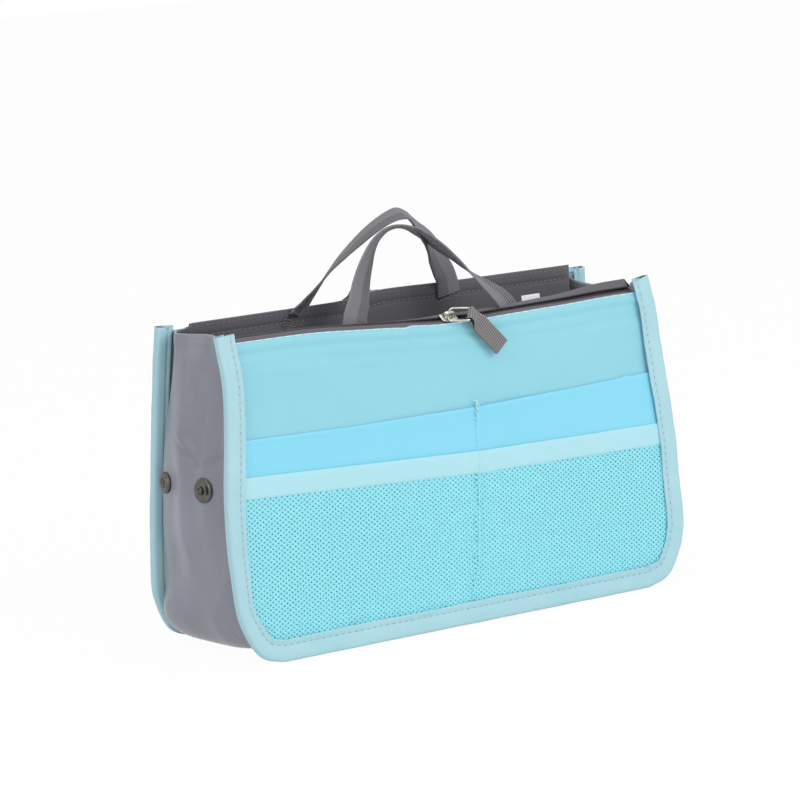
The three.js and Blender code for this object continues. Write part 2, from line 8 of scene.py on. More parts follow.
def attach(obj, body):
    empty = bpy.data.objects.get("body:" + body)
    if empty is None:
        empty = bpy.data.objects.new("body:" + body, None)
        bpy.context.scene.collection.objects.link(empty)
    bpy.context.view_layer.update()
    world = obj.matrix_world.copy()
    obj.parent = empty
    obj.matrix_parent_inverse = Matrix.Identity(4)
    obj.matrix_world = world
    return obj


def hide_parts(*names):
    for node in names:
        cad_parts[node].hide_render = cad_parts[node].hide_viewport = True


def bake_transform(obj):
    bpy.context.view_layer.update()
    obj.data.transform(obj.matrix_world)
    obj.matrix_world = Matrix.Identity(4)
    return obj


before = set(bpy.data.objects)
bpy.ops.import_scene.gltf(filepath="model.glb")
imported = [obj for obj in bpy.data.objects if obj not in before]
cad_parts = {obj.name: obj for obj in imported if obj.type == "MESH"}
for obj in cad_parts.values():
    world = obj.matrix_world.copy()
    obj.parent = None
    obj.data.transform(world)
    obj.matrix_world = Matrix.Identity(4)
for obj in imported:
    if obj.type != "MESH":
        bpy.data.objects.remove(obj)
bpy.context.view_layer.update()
scene = bpy.context.scene
scene.view_settings.view_transform = "Standard"


def add_node(tree, kind, inputs=None, **settings):
    """A node with its settings. Each input takes a plain value, or the output that feeds it."""
    node = tree.nodes.new(kind)
    for setting, value in settings.items():
        setattr(node, setting, value)
    for key, value in (inputs or {}).items():
        if isinstance(value, bpy.types.NodeSocket):
            tree.links.new(value, node.inputs[key])
        else:
            node.inputs[key].default_value = value
    return node


def math_node(tree, operation, *values):
    return add_node(tree, "ShaderNodeMath", dict(enumerate(values)), operation=operation).outputs[0]


# Camera. It stands to the left of the bag's front, a little above it, and looks along a long lens, so
# the front wall, the gusset at its left end and the inside of the rear wall's rim are all seen.
yaw = math.radians(32.451)
pitch = math.radians(9.54)
roll = math.radians(-3.179)
ahead = Vector((math.sin(yaw) * math.cos(pitch), math.cos(yaw) * math.cos(pitch), -math.sin(pitch)))
level = Vector((math.cos(yaw), -math.sin(yaw), 0))
plumb = level.cross(ahead)
camera_right = level * math.cos(roll) + plumb * math.sin(roll)
camera_up = plumb * math.cos(roll) - level * math.sin(roll)
camera_turn = Matrix((camera_right, camera_up, -ahead)).transposed()
camera_lens = bpy.data.cameras.new("bag_camera")
camera_lens.sensor_width = 36
camera_lens.lens = 157.5
camera_lens.clip_start = 0.05
camera_lens.clip_end = 50
camera = bpy.data.objects.new("bag_camera", camera_lens)
camera.matrix_world = Matrix.Translation((-1.02358, -1.59640, 0.43779)) @ camera_turn.to_4x4()
scene.collection.objects.link(camera)
scene.camera = camera


# Studio. A plain white floor under soft lamps: a wide one over the camera's right shoulder, a weaker one
# at the left, one overhead, and an even white surround that the camera sees as clean white.
def clean_to_camera(tree, lit, clean, clean_share=1):
    """The clean shader where the camera looks, also by mirror or through glass, and else the lit one."""
    seen = add_node(tree, "ShaderNodeLightPath").outputs
    ray = math_node(tree, "MAXIMUM", seen["Is Camera Ray"], seen["Is Glossy Ray"])
    ray = math_node(tree, "MAXIMUM", ray, seen["Is Transmission Ray"])
    share = math_node(tree, "MULTIPLY", ray, clean_share)
    return add_node(tree, "ShaderNodeMixShader", {0: share, 1: lit, 2: clean}).outputs[0]


floor_white = bpy.data.materials.new("studio_floor_white")
floor_white.use_nodes = True
floor_tree = floor_white.node_tree
floor_tree.nodes.clear()
lit_floor = add_node(floor_tree, "ShaderNodeBsdfDiffuse", {"Color": (0.86, 0.87, 0.88, 1)})
clean_floor = add_node(floor_tree, "ShaderNodeEmission")
floor_look = clean_to_camera(floor_tree, lit_floor.outputs[0], clean_floor.outputs[0], 0.97)
add_node(floor_tree, "ShaderNodeOutputMaterial", {"Surface": floor_look})
floor_mesh = bpy.data.meshes.new("studio_floor")
floor_mesh.from_pydata([(-6, -6, 0), (6, -6, 0), (6, 6, 0), (-6, 6, 0)], [], [(0, 1, 2, 3)])
floor_mesh.materials.append(floor_white)
floor = bpy.data.objects.new("studio_floor", floor_mesh)
scene.collection.objects.link(floor)

surround = bpy.data.worlds.new("studio_surround")
surround.use_nodes = True
sky = surround.node_tree
sky.nodes.clear()
sky_light, sky_white = (
    add_node(sky, "ShaderNodeBackground", {"Color": (1, 1, 1, 1), "Strength": strength}).outputs[0]
    for strength in (0.5, 1)
)
add_node(sky, "ShaderNodeOutputWorld", {"Surface": clean_to_camera(sky, sky_light, sky_white)})
scene.world = surround

for lamp_name, lamp_place, lamp_width, lamp_watts in (
    ("key_lamp", (0.5, -2.3, 1.5), 1.6, 28),
    ("left_lamp", (-2.2, -0.6, 0.9), 1.2, 8),
    ("top_lamp", (0.1, 0.3, 2.2), 1.4, 9),
):
    lamp = bpy.data.lights.new(lamp_name, "AREA")
    lamp.size = lamp_width
    lamp.energy = lamp_watts
    lamp_object = bpy.data.objects.new(lamp_name, lamp)
    lamp_object.location = lamp_place
    aim = Vector((0, 0, 0.09)) - lamp_object.location
    lamp_object.rotation_euler = aim.to_track_quat("-Z", "Y").to_euler()
    scene.collection.objects.link(lamp_object)


# Outer panels. The flat outside of each wall is one piece of turquoise coated nylon. It is sewn in under
# the binding at its sides and foot, and its top is turned over in a soft hem that holds the zip tape.
FOOT_DEPTH = 89
WALL_LEAN = math.radians(4.4)
WALL_LIFT = -0.4
WALL_HEIGHT = 175
LAYER_INSET = 1.6
NYLON = 0.5
WALLS = ("front", "rear")
WALL_BODY = {"front": "front_wall", "rear": "bag_body"}
HANDS = {"left": -1, "right": 1}
SLIDER_X = {"front": 7.6, "rear": 2.6}

# The outline of each side, from the rim down to the foot, as distances from the middle and heights
SIDE_POINTS = {
    ("front", "left"): [
        (139.6, WALL_HEIGHT), (137.3, 148.3), (139.3, 121.8), (143.1, 90.3), (143.9, 50.7),
        (139.9, 19.7), (129.4, 3.6), (118, 0),
    ],
    ("front", "right"): [
        (140.1, WALL_HEIGHT), (143.8, 153.5), (145.2, 132.5), (148.7, 95.1), (149.5, 56.9),
        (149, 30.4), (145.1, 17.8), (135, 4.6), (122, 0),
    ],
    ("rear", "left"): [
        (140.6, WALL_HEIGHT), (142, 150), (144, 120), (146.2, 88), (147.4, 52), (145.4, 24),
        (136, 5.6), (121, 0),
    ],
    ("rear", "right"): [
        (140.6, WALL_HEIGHT), (142.6, 150), (144.4, 120), (146, 88), (147.2, 52), (145.6, 24),
        (136, 5.6), (121, 0),
    ],
}


def run_along(points):
    """The distance along a line of points, from its first point to each of them."""
    return np.concatenate([[0], np.cumsum(np.linalg.norm(np.diff(points, axis=0), axis=1))])


def unit(vectors):
    return vectors / np.linalg.norm(vectors, axis=-1, keepdims=True)


def path_through(points, spacing):
    """A smooth path through the points, as points at an even spacing."""
    points = np.array(points, float)
    run = run_along(points)
    slopes = np.gradient(points, run, axis=0)
    at = np.linspace(0, run[-1], 60 * len(points))
    i = np.clip(np.searchsorted(run, at, side="right") - 1, 0, len(run) - 2)
    gap = (run[i + 1] - run[i])[:, None]
    t = (at - run[i])[:, None] / gap
    dense = (2 * t**3 - 3 * t**2 + 1) * points[i] + (t**3 - 2 * t**2 + t) * gap * slopes[i]
    dense += (3 * t**2 - 2 * t**3) * points[i + 1] + (t**3 - t**2) * gap * slopes[i + 1]
    run = run_along(dense)
    stops = np.linspace(0, run[-1], max(int(round(run[-1] / spacing)), 2) + 1)
    return np.column_stack([np.interp(stops, run, column) for column in dense.T])


outlines = {}
for key, points in SIDE_POINTS.items():
    side = path_through(points, 2)
    side[:, 1] = np.maximum(side[:, 1], 0)
    foot_x = np.arange(side[-1, 0] - 3, 0, -3)
    outlines[key] = np.vstack([side, np.column_stack([foot_x, np.zeros_like(foot_x)]), [[0, 0]]])


def inset_line(wall, hand, inset):
    """One side's outline moved inwards, and the outward direction at each of its points."""
    line = outlines[wall, hand]
    run = unit(np.gradient(line, axis=0))
    outward = np.column_stack([-run[:, 1], run[:, 0]])
    return line - inset * outward, outward


def side_x(wall, hand, inset, heights):
    """Where the inset outline is at each height, as a signed X."""
    line, _ = inset_line(wall, hand, inset)
    last = int(np.argmax(line[:, 1] <= inset + 0.01))
    return HANDS[hand] * np.interp(heights, line[last::-1, 1], line[last::-1, 0])


def wall_bow(wall, x, height):
    """How far the padded wall stands proud of its flat plane, with the slow unevenness of soft cloth."""
    middle = np.sin(np.pi * np.clip(height / 172, 0, 1)) * np.cos(np.pi * np.clip(x, -149, 149) / 300)
    turn = 0 if wall == "front" else 1.7
    uneven = np.sin(x / 29 + height / 41 + turn) * np.sin(height / 33 - x / 57 + 2 * turn)
    return -(0.9 + 0.35 * uneven) * middle


def in_bag(wall, x, depth, height):
    """A wall's own point, given by X, depth from the panel's face and height, in the bag, in metres."""
    x, depth, height = np.broadcast_arrays(np.asarray(x, float), depth, height)
    y = -FOOT_DEPTH / 2 + depth * math.cos(WALL_LEAN) + height * math.sin(WALL_LEAN)
    z = height * math.cos(WALL_LEAN) - depth * math.sin(WALL_LEAN) + WALL_LIFT
    turn = 1 if wall == "front" else -1
    return np.stack([turn * x, turn * y, z], axis=-1) / 1000


def on_wall(wall, x, depth, height):
    """A wall's own point in the bag, at a depth that follows the padded wall's bow."""
    return in_bag(wall, x, depth + wall_bow(wall, x, height), height)


def bump(at, middle, width):
    return np.exp(-(((at - middle) / width) ** 2))


def soft_step(at, low, high):
    share = np.clip((at - low) / (high - low), 0, 1)
    return share * share * (3 - 2 * share)


def make_object(name, points, faces, material, uv=None):
    mesh = bpy.data.meshes.new(name)
    mesh.from_pydata([tuple(p) for p in points], [], [tuple(f) for f in faces])
    mesh.materials.append(material)
    mesh.shade_smooth()
    if uv is not None:
        layer = mesh.uv_layers.new(name="cloth")
        corners = np.empty(len(mesh.loops), np.int32)
        mesh.loops.foreach_get("vertex_index", corners)
        layer.data.foreach_set("uv", np.asarray(uv, np.float32)[corners].ravel())
    made = bpy.data.objects.new(name, mesh)
    scene.collection.objects.link(made)
    return made


def facing_out(points, faces):
    """The faces of a closed body, turned over where they look inwards."""
    points = np.asarray(points)
    volume = 0
    for size in sorted({len(face) for face in faces}):
        corners = points[np.array([face for face in faces if len(face) == size])]
        for k in range(1, size - 1):
            crossed = np.cross(corners[:, k], corners[:, k + 1])
            volume += np.einsum("ij,ij->i", corners[:, 0], crossed).sum()
    return [face[::-1] for face in faces] if volume < 0 else faces


def ring_faces(count, around, closed=False):
    """The faces between neighbouring rings of points."""
    faces = []
    for i in range(count if closed else count - 1):
        a = i * around
        b = (i + 1) % count * around
        for j in range(around):
            k = (j + 1) % around
            faces.append((a + j, a + k, b + k, b + j))
    return faces


def cloth_shell(name, face, back, material, uv):
    """A closed thin piece of cloth between two facing grids of points, with rounded raw edges."""
    rows, columns, _ = face.shape
    count = rows * columns
    middle = (face + back) / 2
    thickness = np.linalg.norm(face - back, axis=-1, keepdims=True)
    rim = [(r, 0) for r in range(rows - 1)] + [(rows - 1, c) for c in range(columns - 1)]
    rim += [(r, columns - 1) for r in range(rows - 1, 0, -1)] + [(0, c) for c in range(columns - 1, 0, -1)]
    edge = []
    for r, c in rim:
        inner = middle[min(max(r, 1), rows - 2), min(max(c, 1), columns - 2)]
        outward = middle[r, c] - inner
        outward /= max(np.linalg.norm(outward), 1e-9)
        edge.append(middle[r, c] + outward * 0.45 * thickness[r, c])
    points = np.vstack([face.reshape(-1, 3), back.reshape(-1, 3), np.array(edge)])
    uvs = np.vstack([uv.reshape(-1, 2), uv.reshape(-1, 2), np.array([uv[r, c] for r, c in rim])])
    faces = []
    for r in range(rows - 1):
        for c in range(columns - 1):
            a = r * columns + c
            faces.append((a, a + 1, a + columns + 1, a + columns))
            faces.append((count + a, count + a + columns, count + a + columns + 1, count + a + 1))
    for i, (r, c) in enumerate(rim):
        j = (i + 1) % len(rim)
        a = r * columns + c
        b = rim[j][0] * columns + rim[j][1]
        faces.append((a, b, 2 * count + j, 2 * count + i))
        faces.append((2 * count + i, 2 * count + j, count + b, count + a))
    return make_object(name, points, facing_out(points, faces), material, uvs)


def grid_uv(down, across):
    return np.stack(np.meshgrid(down, across, indexing="ij"), axis=-1)


def wall_cloth(name, wall, x, depth, height, thickness, material):
    """A closed piece of cloth over a grid of a wall's own points."""
    face = in_bag(wall, x, depth, height)
    back = in_bag(wall, x, depth + thickness, height)
    return cloth_shell(name, face, back, material, np.stack([x, height], axis=-1) / 1000)


SHEET_COLUMNS = 105


def wall_sheet(name, wall, material, depth_at, top_at, inset, fine=1.1, thickness=NYLON):
    """A sheet of a wall from its foot up to a top line, at the depths that depth_at gives."""
    top = float(np.mean(top_at(wall, np.linspace(-120, 120, 9))))
    corner = inset + (34 - inset) * (1 - np.cos(np.linspace(0, np.pi / 2, 9)))
    middle = np.arange(38, top - 22, 4.5)
    upper = np.arange(middle[-1] + 3, top - 0.5, fine)
    heights = np.concatenate([corner, middle, upper, [top]])
    columns = np.linspace(0, 1, SHEET_COLUMNS)
    left = side_x(wall, "left", inset, heights)
    right = side_x(wall, "right", inset, heights)
    x = left[:, None] + (right - left)[:, None] * columns
    height = np.repeat(heights[:, None], len(columns), axis=1)
    height = height + (top_at(wall, x) - top) * soft_step(height, top - 60, top)
    depth = depth_at(wall, x, height) + wall_bow(wall, x, height)
    return wall_cloth(name, wall, x, depth, height, thickness, material)


def linear(code):
    """A colour written as hex, in the scene's linear values."""
    parts = [int(code[i : i + 2], 16) / 255 for i in (0, 2, 4)]
    return (*(p / 12.92 if p <= 0.04045 else ((p + 0.055) / 1.055) ** 2.4 for p in parts), 1)


def new_material(name):
    """A material with its tree, its main shader and its texture coordinates."""
    material = bpy.data.materials.new(name)
    material.use_nodes = True
    tree = material.node_tree
    return material, tree, tree.nodes["Principled BSDF"], add_node(tree, "ShaderNodeTexCoord").outputs


def noise(tree, place, scale, detail=2, distortion=0):
    inputs = {"Vector": place, "Scale": scale, "Detail": detail, "Distortion": distortion}
    return add_node(tree, "ShaderNodeTexNoise", inputs).outputs["Fac"]


def blend_of(tree, first, second, share):
    inputs = {"A": first, "B": second, "Factor": share}
    return add_node(tree, "ShaderNodeMix", inputs, data_type="RGBA").outputs["Result"]


def two_tones(tree, light, dark, share, rough, spread, grain):
    """Colour that wanders between two tones, and roughness that wanders about its middle value."""
    shader = tree.nodes["Principled BSDF"]
    span = {"To Min": rough - spread, "To Max": rough + spread, "Value": grain}
    gloss = add_node(tree, "ShaderNodeMapRange", span)
    tree.links.new(blend_of(tree, linear(light), linear(dark), share), shader.inputs["Base Color"])
    tree.links.new(gloss.outputs["Result"], shader.inputs["Roughness"])


def bumped(tree, height, strength, distance, under=None):
    """The slope that a pattern of heights gives, on top of another slope where there is one."""
    inputs = {"Height": height, "Strength": strength, "Distance": distance}
    if under is not None:
        inputs["Normal"] = under
    return add_node(tree, "ShaderNodeBump", inputs).outputs["Normal"]


def woven(
    name, light, dark, pitch, rough, sheen=0.0, slope=0.12, cloudy=0.35, across=1.0, crumple=0.25
):
    """A woven cloth: two sets of threads over and under each other, in two close tones, softly creased."""
    material, tree, shader, place = new_material(name)
    threads = []
    for direction, spread in (("X", 1.0), ("Y", across)):
        wave = {"Scale": math.pi / (10 * pitch * spread / 1000), "Distortion": 0.4, "Detail": 1}
        wave["Vector"] = place["UV"]
        threads.append(add_node(tree, "ShaderNodeTexWave", wave, bands_direction=direction).outputs["Fac"])
    weave = math_node(tree, "MULTIPLY", *threads)
    clouds = noise(tree, place["Object"], 22, 4)
    slubs = noise(tree, place["Object"], 900)
    tone = math_node(tree, "MULTIPLY_ADD", clouds, cloudy, math_node(tree, "MULTIPLY", weave, 0.45))
    two_tones(tree, light, dark, tone, rough, 0.08, slubs)
    thread_slope = bumped(tree, weave, slope, pitch / 4000)
    creases = noise(tree, place["Object"], 70, 3, 0.6)
    tree.links.new(bumped(tree, creases, crumple, 0.0008, thread_slope), shader.inputs["Normal"])
    shader.inputs["Sheen Weight"].default_value = sheen
    shader.inputs["Sheen Roughness"].default_value = 0.4
    shader.inputs["Specular IOR Level"].default_value = 0.35
    return material


def fibre(name, light, dark, rough, sheen):
    """Bare thread: two close tones that change along it, with a soft sheen."""
    material, tree, shader, place = new_material(name)
    tufts = noise(tree, place["Object"], 260, 3)
    two_tones(tree, light, dark, tufts, rough, 0.1, tufts)
    twist = noise(tree, place["Object"], 2500)
    tree.links.new(bumped(tree, twist, 0.3, 0.0001), shader.inputs["Normal"])
    shader.inputs["Sheen Weight"].default_value = sheen
    return material


def metal(name, light, dark, rough):
    """Plated metal: a dull even tone with faint cloudiness and fine pits."""
    material, tree, shader, place = new_material(name)
    clouds = noise(tree, place["Object"], 320, 4)
    two_tones(tree, light, dark, clouds, rough, 0.06, clouds)
    tree.links.new(bumped(tree, clouds, 0.15, 0.00008), shader.inputs["Normal"])
    shader.inputs["Metallic"].default_value = 1
    return material


panel_nylon = woven("panel_nylon", "9CDDEB", "8FD3E2", 0.45, 0.62, 0.12)


# The front rim sags at its middle, where the slider hangs, and the rear rim stands up there
COIL_BASE = 169.5
RIM_SHIFT = {"front": -3, "rear": 5}
COIL_LINE = {
    "front": [
        (-130, 6.3), (-88, 6), (-70, 5.2), (-55, 3.9), (-38, 2.7), (-20, 1.5), (0, 0.2), (8, 0),
        (20, -0.2), (39, 0.3), (60, 0.7), (83, 1), (110, 1.9), (131, 1.9),
    ],
    "rear": [(-130, 0.4), (-12, 0.8), (3, 0.8), (14, 0.3), (32, -0.4), (130, -0.4)],
}


def along(points, at):
    """The value at a place along a line of pairs."""
    places, values = zip(*points)
    return np.interp(at, places, values)


def smooth_along(points, at):
    """The value at a place along a line of pairs, with the line's corners rounded off."""
    places, values = zip(*points)
    at = np.asarray(at, float)
    return sum(np.interp(at + shift, places, values) for shift in (-6, -3, 0, 3, 6)) / 5


def coil_height(wall, x):
    return COIL_BASE + RIM_SHIFT[wall] + smooth_along(COIL_LINE[wall], x)


def panel_top(wall, x):
    tuck = 0.45 * np.tanh((x + 21) / 0.8) * bump(x, -21, 9) if wall == "front" else 0
    return coil_height(wall, x) - 2.2 + tuck


def panel_depth(wall, x, height):
    """The panel's soft face: the turned hem and its seam, folds below it, a tuck, a drag and slack."""
    below = panel_top(wall, x) - height
    ripple = 0.5 + 0.5 * np.sin(x / 17 + 0.8) * np.sin(x / 41 + 2)
    wide = np.sin(x / 38 + below / 22 + 1) * np.sin(below / 13 - x / 90)
    slanted = bump(np.sin((x - 1.6 * below) / 21 + 0.6), 1, 0.35) * bump(below, 26, 14)
    hem = -0.75 * np.clip(np.sin(np.pi * np.clip(below / 5.8, 0, 1)), 0, 1) ** 0.6
    seam = 0.25 * bump(below, 6.6, 0.9)
    folds = -0.55 * ripple * bump(below, 10.5, 2.2) + 0.2 * bump(below, 14, 2)
    folds -= 0.3 * (1 - ripple) * bump(below, 17.5, 3)
    tuck = -0.9 * bump(x + 21, 0.35 * below, 2.2) * bump(below, 2, 6)
    drag = -0.5 * bump(x - 12, 0.5 * below, 7) * bump(below, 22, 15)
    edge = 0.15 * bump(x, 133, 5) * bump(height, 137, 16)
    soft = (0.6 * wide - 0.8 * slanted) * soft_step(below, 6, 16)
    return hem + seam + folds + tuck + drag + edge + soft


for wall in WALLS:
    panel = wall_sheet(f"{wall}_panel_cloth", wall, panel_nylon, panel_depth, panel_top, LAYER_INSET)
    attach(panel, WALL_BODY[wall])
    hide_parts(f"{wall}_outer_panel")


# Slip pockets. A brighter, slicker nylon sheet lies over the lower 70 % or so of the panel and is open
# along its folded top edge. One line of stitching from its top to the foot parts it into two pockets.
SLIP_TOP = {
    "front": [(-140, 119.6), (-60, 117.6), (16, 117.4), (80, 118.8), (142, 120.9)],
    "rear": [(-142, 119), (142, 119)],
}
SLIP_RISE_X = 118.1
# The seam between the two pockets, as heights and the X at each of them
DIVIDER = {
    "front": [(15, 3.9), (32.5, 9.2), (93, 16), (119.6, 17.7)],
    "rear": [(15, 9), (60, 10.4), (119.6, 11)],
}

slip_nylon = woven("slip_nylon", "93E4FB", "86D9F2", 0.4, 0.5, 0.1)


def divider_groove(wall, x, height):
    """The seam pulls the cloth in along the divider, and the cloth puckers at its lower end."""
    away = x - along(DIVIDER[wall], height)
    pull = 0.65 * bump(away, -3.2, 1.0) - 0.75 * bump(away, -1.2, 1.1) + 0.25 * bump(away, 1.1, 1.4)
    pucker = 0.5 * np.sin(height * 0.9 + away * 0.25) * bump(away, 0, 9) * bump(height, 16, 8)
    return pull + 0.5 * pucker


def slip_top(wall, x):
    """The pocket's folded edge, with a small rise near its right end."""
    return along(SLIP_TOP[wall], x) + 0.8 * bump(x, SLIP_RISE_X, 3)


def slip_depth(wall, x, height):
    below = along(SLIP_TOP[wall], x) - height
    gape = -0.8 * bump(below, 0, 9) * np.clip(np.cos(np.pi * x / 290), 0, 1)
    fold = -0.25 * bump(below, 0.8, 1.2)
    return -0.75 + gape + fold + divider_groove(wall, x, height) * soft_step(height, 10, 30)


for wall in WALLS:
    slip = wall_sheet(f"{wall}_slip_cloth", wall, slip_nylon, slip_depth, slip_top, LAYER_INSET)
    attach(slip, WALL_BODY[wall])
    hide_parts(f"{wall}_slip_pocket")


# Mesh pockets. An open net of crossed turquoise threads, about 2 mm from thread to thread, covers the
# lower half of each wall. Its threads run on the slant and pass over and under each other.
NET_PITCH = 2.1
NET_WIDTH = 1.46
NET_THICKNESS = 0.22
NET_WEAVE = 0.07
NET_INSET = 6
NET_SLANT = {1: math.radians(-41), -1: math.radians(35)}
BAND_TOP = {"front": [(-142, 100.4), (16, 93.2), (80, 92), (142, 91.2)], "rear": [(-142, 92), (142, 92)]}
BAND_LOW = {"front": [(-142, 89.3), (16, 81.4), (80, 80.4), (142, 79.4)], "rear": [(-142, 80.5), (142, 80.5)]}


def new_tree(name, sizes):
    """An empty geometry tree: the tree, what it is given, and the node that takes what it makes."""
    tree = bpy.data.node_groups.new(name, "GeometryNodeTree")
    sockets = [("Guide", "Geometry"), ("Finish", "Material"), *((size, "Float") for size in sizes)]
    for socket, kind in sockets:
        tree.interface.new_socket(socket, in_out="INPUT", socket_type=f"NodeSocket{kind}")
    tree.interface.new_socket("Made", in_out="OUTPUT", socket_type="NodeSocketGeometry")
    given = add_node(tree, "NodeGroupInput")
    taken = add_node(tree, "GeometryNodeRealizeInstances")
    smooth = add_node(tree, "GeometryNodeSetShadeSmooth", {0: taken.outputs[0]})
    finish = {"Geometry": smooth.outputs[0], "Material": given.outputs["Finish"]}
    finished = add_node(tree, "GeometryNodeSetMaterial", finish)
    add_node(tree, "NodeGroupOutput", {0: finished.outputs[0]})
    return tree, given.outputs, taken


def grown(name, points, edges, tree, material, tilt=None, **sizes):
    """A plain mesh that a tree grows along a guide of points and edges."""
    guide = bpy.data.meshes.new(name)
    guide.from_pydata([tuple(p) for p in points], [tuple(e) for e in edges], [])
    if tilt is not None:
        guide.attributes.new("tilt", "FLOAT", "POINT").data.foreach_set("value", tilt.astype(np.float32))
    made = bpy.data.objects.new(name, guide)
    scene.collection.objects.link(made)
    growth = made.modifiers.new("growth", "NODES")
    growth.node_group = tree
    for socket in tree.interface.items_tree:
        if socket.name == "Finish":
            growth[socket.identifier] = material
        if socket.name in sizes:
            growth[socket.identifier] = sizes[socket.name]
    depsgraph = bpy.context.evaluated_depsgraph_get()
    mesh = bpy.data.meshes.new_from_object(made.evaluated_get(depsgraph))
    made.modifiers.remove(growth)
    made.data = mesh
    mesh.name = name
    return made


# A thread tree: each edge line of the guide becomes a flat thread
thread_tree, given, thread_end = new_tree("thread", ["Width", "Thickness"])
thread_line = add_node(thread_tree, "GeometryNodeMeshToCurve", {"Mesh": given["Guide"]})
level = {"Curve": thread_line.outputs[0]}
thread_line = add_node(thread_tree, "GeometryNodeSetCurveNormal", level, mode="Z_UP")
flat = {"Height": given["Width"], "Width": given["Thickness"]}
flat_profile = add_node(thread_tree, "GeometryNodeCurvePrimitiveQuadrilateral", flat)
swept = {"Curve": thread_line.outputs[0], "Profile Curve": flat_profile.outputs[0], "Fill Caps": True}
thread_mesh = add_node(thread_tree, "GeometryNodeCurveToMesh", swept)
thread_tree.links.new(thread_mesh.outputs[0], thread_end.inputs[0])

net_thread = fibre("net_thread", "A0F3FE", "93E9F5", 0.55, 0.1)


def net_depth(wall, x, height):
    puff = -0.5 * np.sin(np.pi * np.clip((height - 10) / 80, 0, 1)) * np.abs(np.sin(np.pi * (x - 12) / 290))
    return slip_depth(wall, x, height) - 0.4 + puff


for wall in WALLS:
    net_points = []
    net_edges = []
    for layer, slant in NET_SLANT.items():
        run = np.array([math.cos(slant), math.sin(slant)])
        step = np.array([-math.sin(slant), math.cos(slant)])
        other = NET_SLANT[-layer]
        crossing = NET_PITCH / abs(math.sin(slant - other))
        rows = int(170 / NET_PITCH)
        for row in range(-rows, rows + 1):
            start = np.array([0, 45]) + row * NET_PITCH * step
            stops = np.arange(-220, 221)
            line = start + stops[:, None] * crossing * run
            x = line[:, 0]
            height = line[:, 1]
            left = side_x(wall, "left", NET_INSET, np.clip(height, 6.01, 174))
            right = side_x(wall, "right", NET_INSET, np.clip(height, 6.01, 174))
            inside = (height > 6.5) & (height < along(BAND_LOW[wall], x) + 1.2) & (x > left) & (x < right)
            weave = layer * NET_WEAVE * np.where((stops + row) % 2 == 0, 1, -1)
            depth = net_depth(wall, x, height) + wall_bow(wall, x, height) + weave
            places = in_bag(wall, x, depth, height)
            for here in range(len(stops)):
                if inside[here]:
                    if here and inside[here - 1]:
                        net_edges.append((len(net_points) - 1, len(net_points)))
                    net_points.append(places[here])
    net = grown(
        f"{wall}_net",
        net_points,
        net_edges,
        thread_tree,
        net_thread,
        Width=NET_WIDTH / 1000,
        Thickness=NET_THICKNESS / 1000,
    )
    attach(net, WALL_BODY[wall])
    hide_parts(f"{wall}_mesh_pocket")


# Pocket bands. The top edge of the net is bound by a paler stretch tape, a little thicker than the net,
# that lies slightly off the slip pocket behind it and is pulled in where the divider is sewn through.
BAND_THICKNESS = 0.8

band_tape = woven("band_tape", "BCEDF5", "ACE3EE", 0.9, 0.55, 0.15, 0.3, 0.25, 0.35)

for wall in WALLS:
    shares = np.linspace(0, 1, 13)[:, None]
    across = np.linspace(0, 1, SHEET_COLUMNS)[None, :]
    middle_height = (along(BAND_TOP[wall], 0) + along(BAND_LOW[wall], 0)) / 2
    left = side_x(wall, "left", LAYER_INSET, middle_height)
    right = side_x(wall, "right", LAYER_INSET, middle_height)
    x = np.repeat(left + (right - left) * across, 13, axis=0)
    low = along(BAND_LOW[wall], x)
    height = low + (along(BAND_TOP[wall], x) - low) * shares
    lips = 0.25 * (bump(shares, 0, 0.1) + bump(shares, 1, 0.1))
    depth = net_depth(wall, x, height) - 0.75 + lips - 0.5 * shares * np.clip(np.cos(np.pi * x / 290), 0, 1)
    depth = depth + wall_bow(wall, x, height)
    band = wall_cloth(f"{wall}_band", wall, x, depth, height, BAND_THICKNESS, band_tape)
    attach(band, WALL_BODY[wall])
    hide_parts(f"{wall}_mesh_pocket_band")


# Divider seam and painted hem highlight. One row of pale turquoise lockstitches runs from the slip pocket's
# top down to the foot, through the band, the net and the slip sheet, with a bar of tight zigzag over its
# upper end.
# A row of near-white beads along the panel's turned hem is a painted highlight: the light the hem catches by
# the zip.
SEAM_SHIFT = -1.3
SEAM_FOOT = 13.5
SEAM_TOP = 119.4
# Where the seam crosses the pocket's band, along the wall
CROSSING_X = 15
BAR_STITCHES = 17
BAR_FOOT = 111.5
BAR_STEP = 0.6
BAR_HALF = 1.1
stitch_tree, given, stitch_end = new_tree("stitch", ["Length", "Gap", "Radius"])
stitch_line = add_node(stitch_tree, "GeometryNodeMeshToCurve", {"Mesh": given["Guide"]})
stitch_step = math_node(stitch_tree, "ADD", given["Length"], given["Gap"])
stitch_half = math_node(stitch_tree, "MULTIPLY", given["Length"], 0.5)
spaced = {"Curve": stitch_line.outputs[0], "Length": stitch_step}
stitch_points = add_node(stitch_tree, "GeometryNodeCurveToPoints", spaced, mode="LENGTH").outputs
tangent = {"Vector": stitch_points["Tangent"]}
stitch_turn = add_node(stitch_tree, "FunctionNodeAlignRotationToVector", tangent, axis="Z")


def set_beads(tree, end, roundness, points, turn, size):
    """A bead on each point, turned, and stretched by its three sizes."""
    segments, rings = roundness
    bead = add_node(tree, "GeometryNodeMeshUVSphere", {"Segments": segments, "Rings": rings})
    stretch = add_node(tree, "ShaderNodeCombineXYZ", dict(zip("XYZ", size)))
    inputs = {"Points": points, "Instance": bead.outputs[0], "Rotation": turn, "Scale": stretch.outputs[0]}
    beads = add_node(tree, "GeometryNodeInstanceOnPoints", inputs)
    tree.links.new(beads.outputs[0], end.inputs[0])


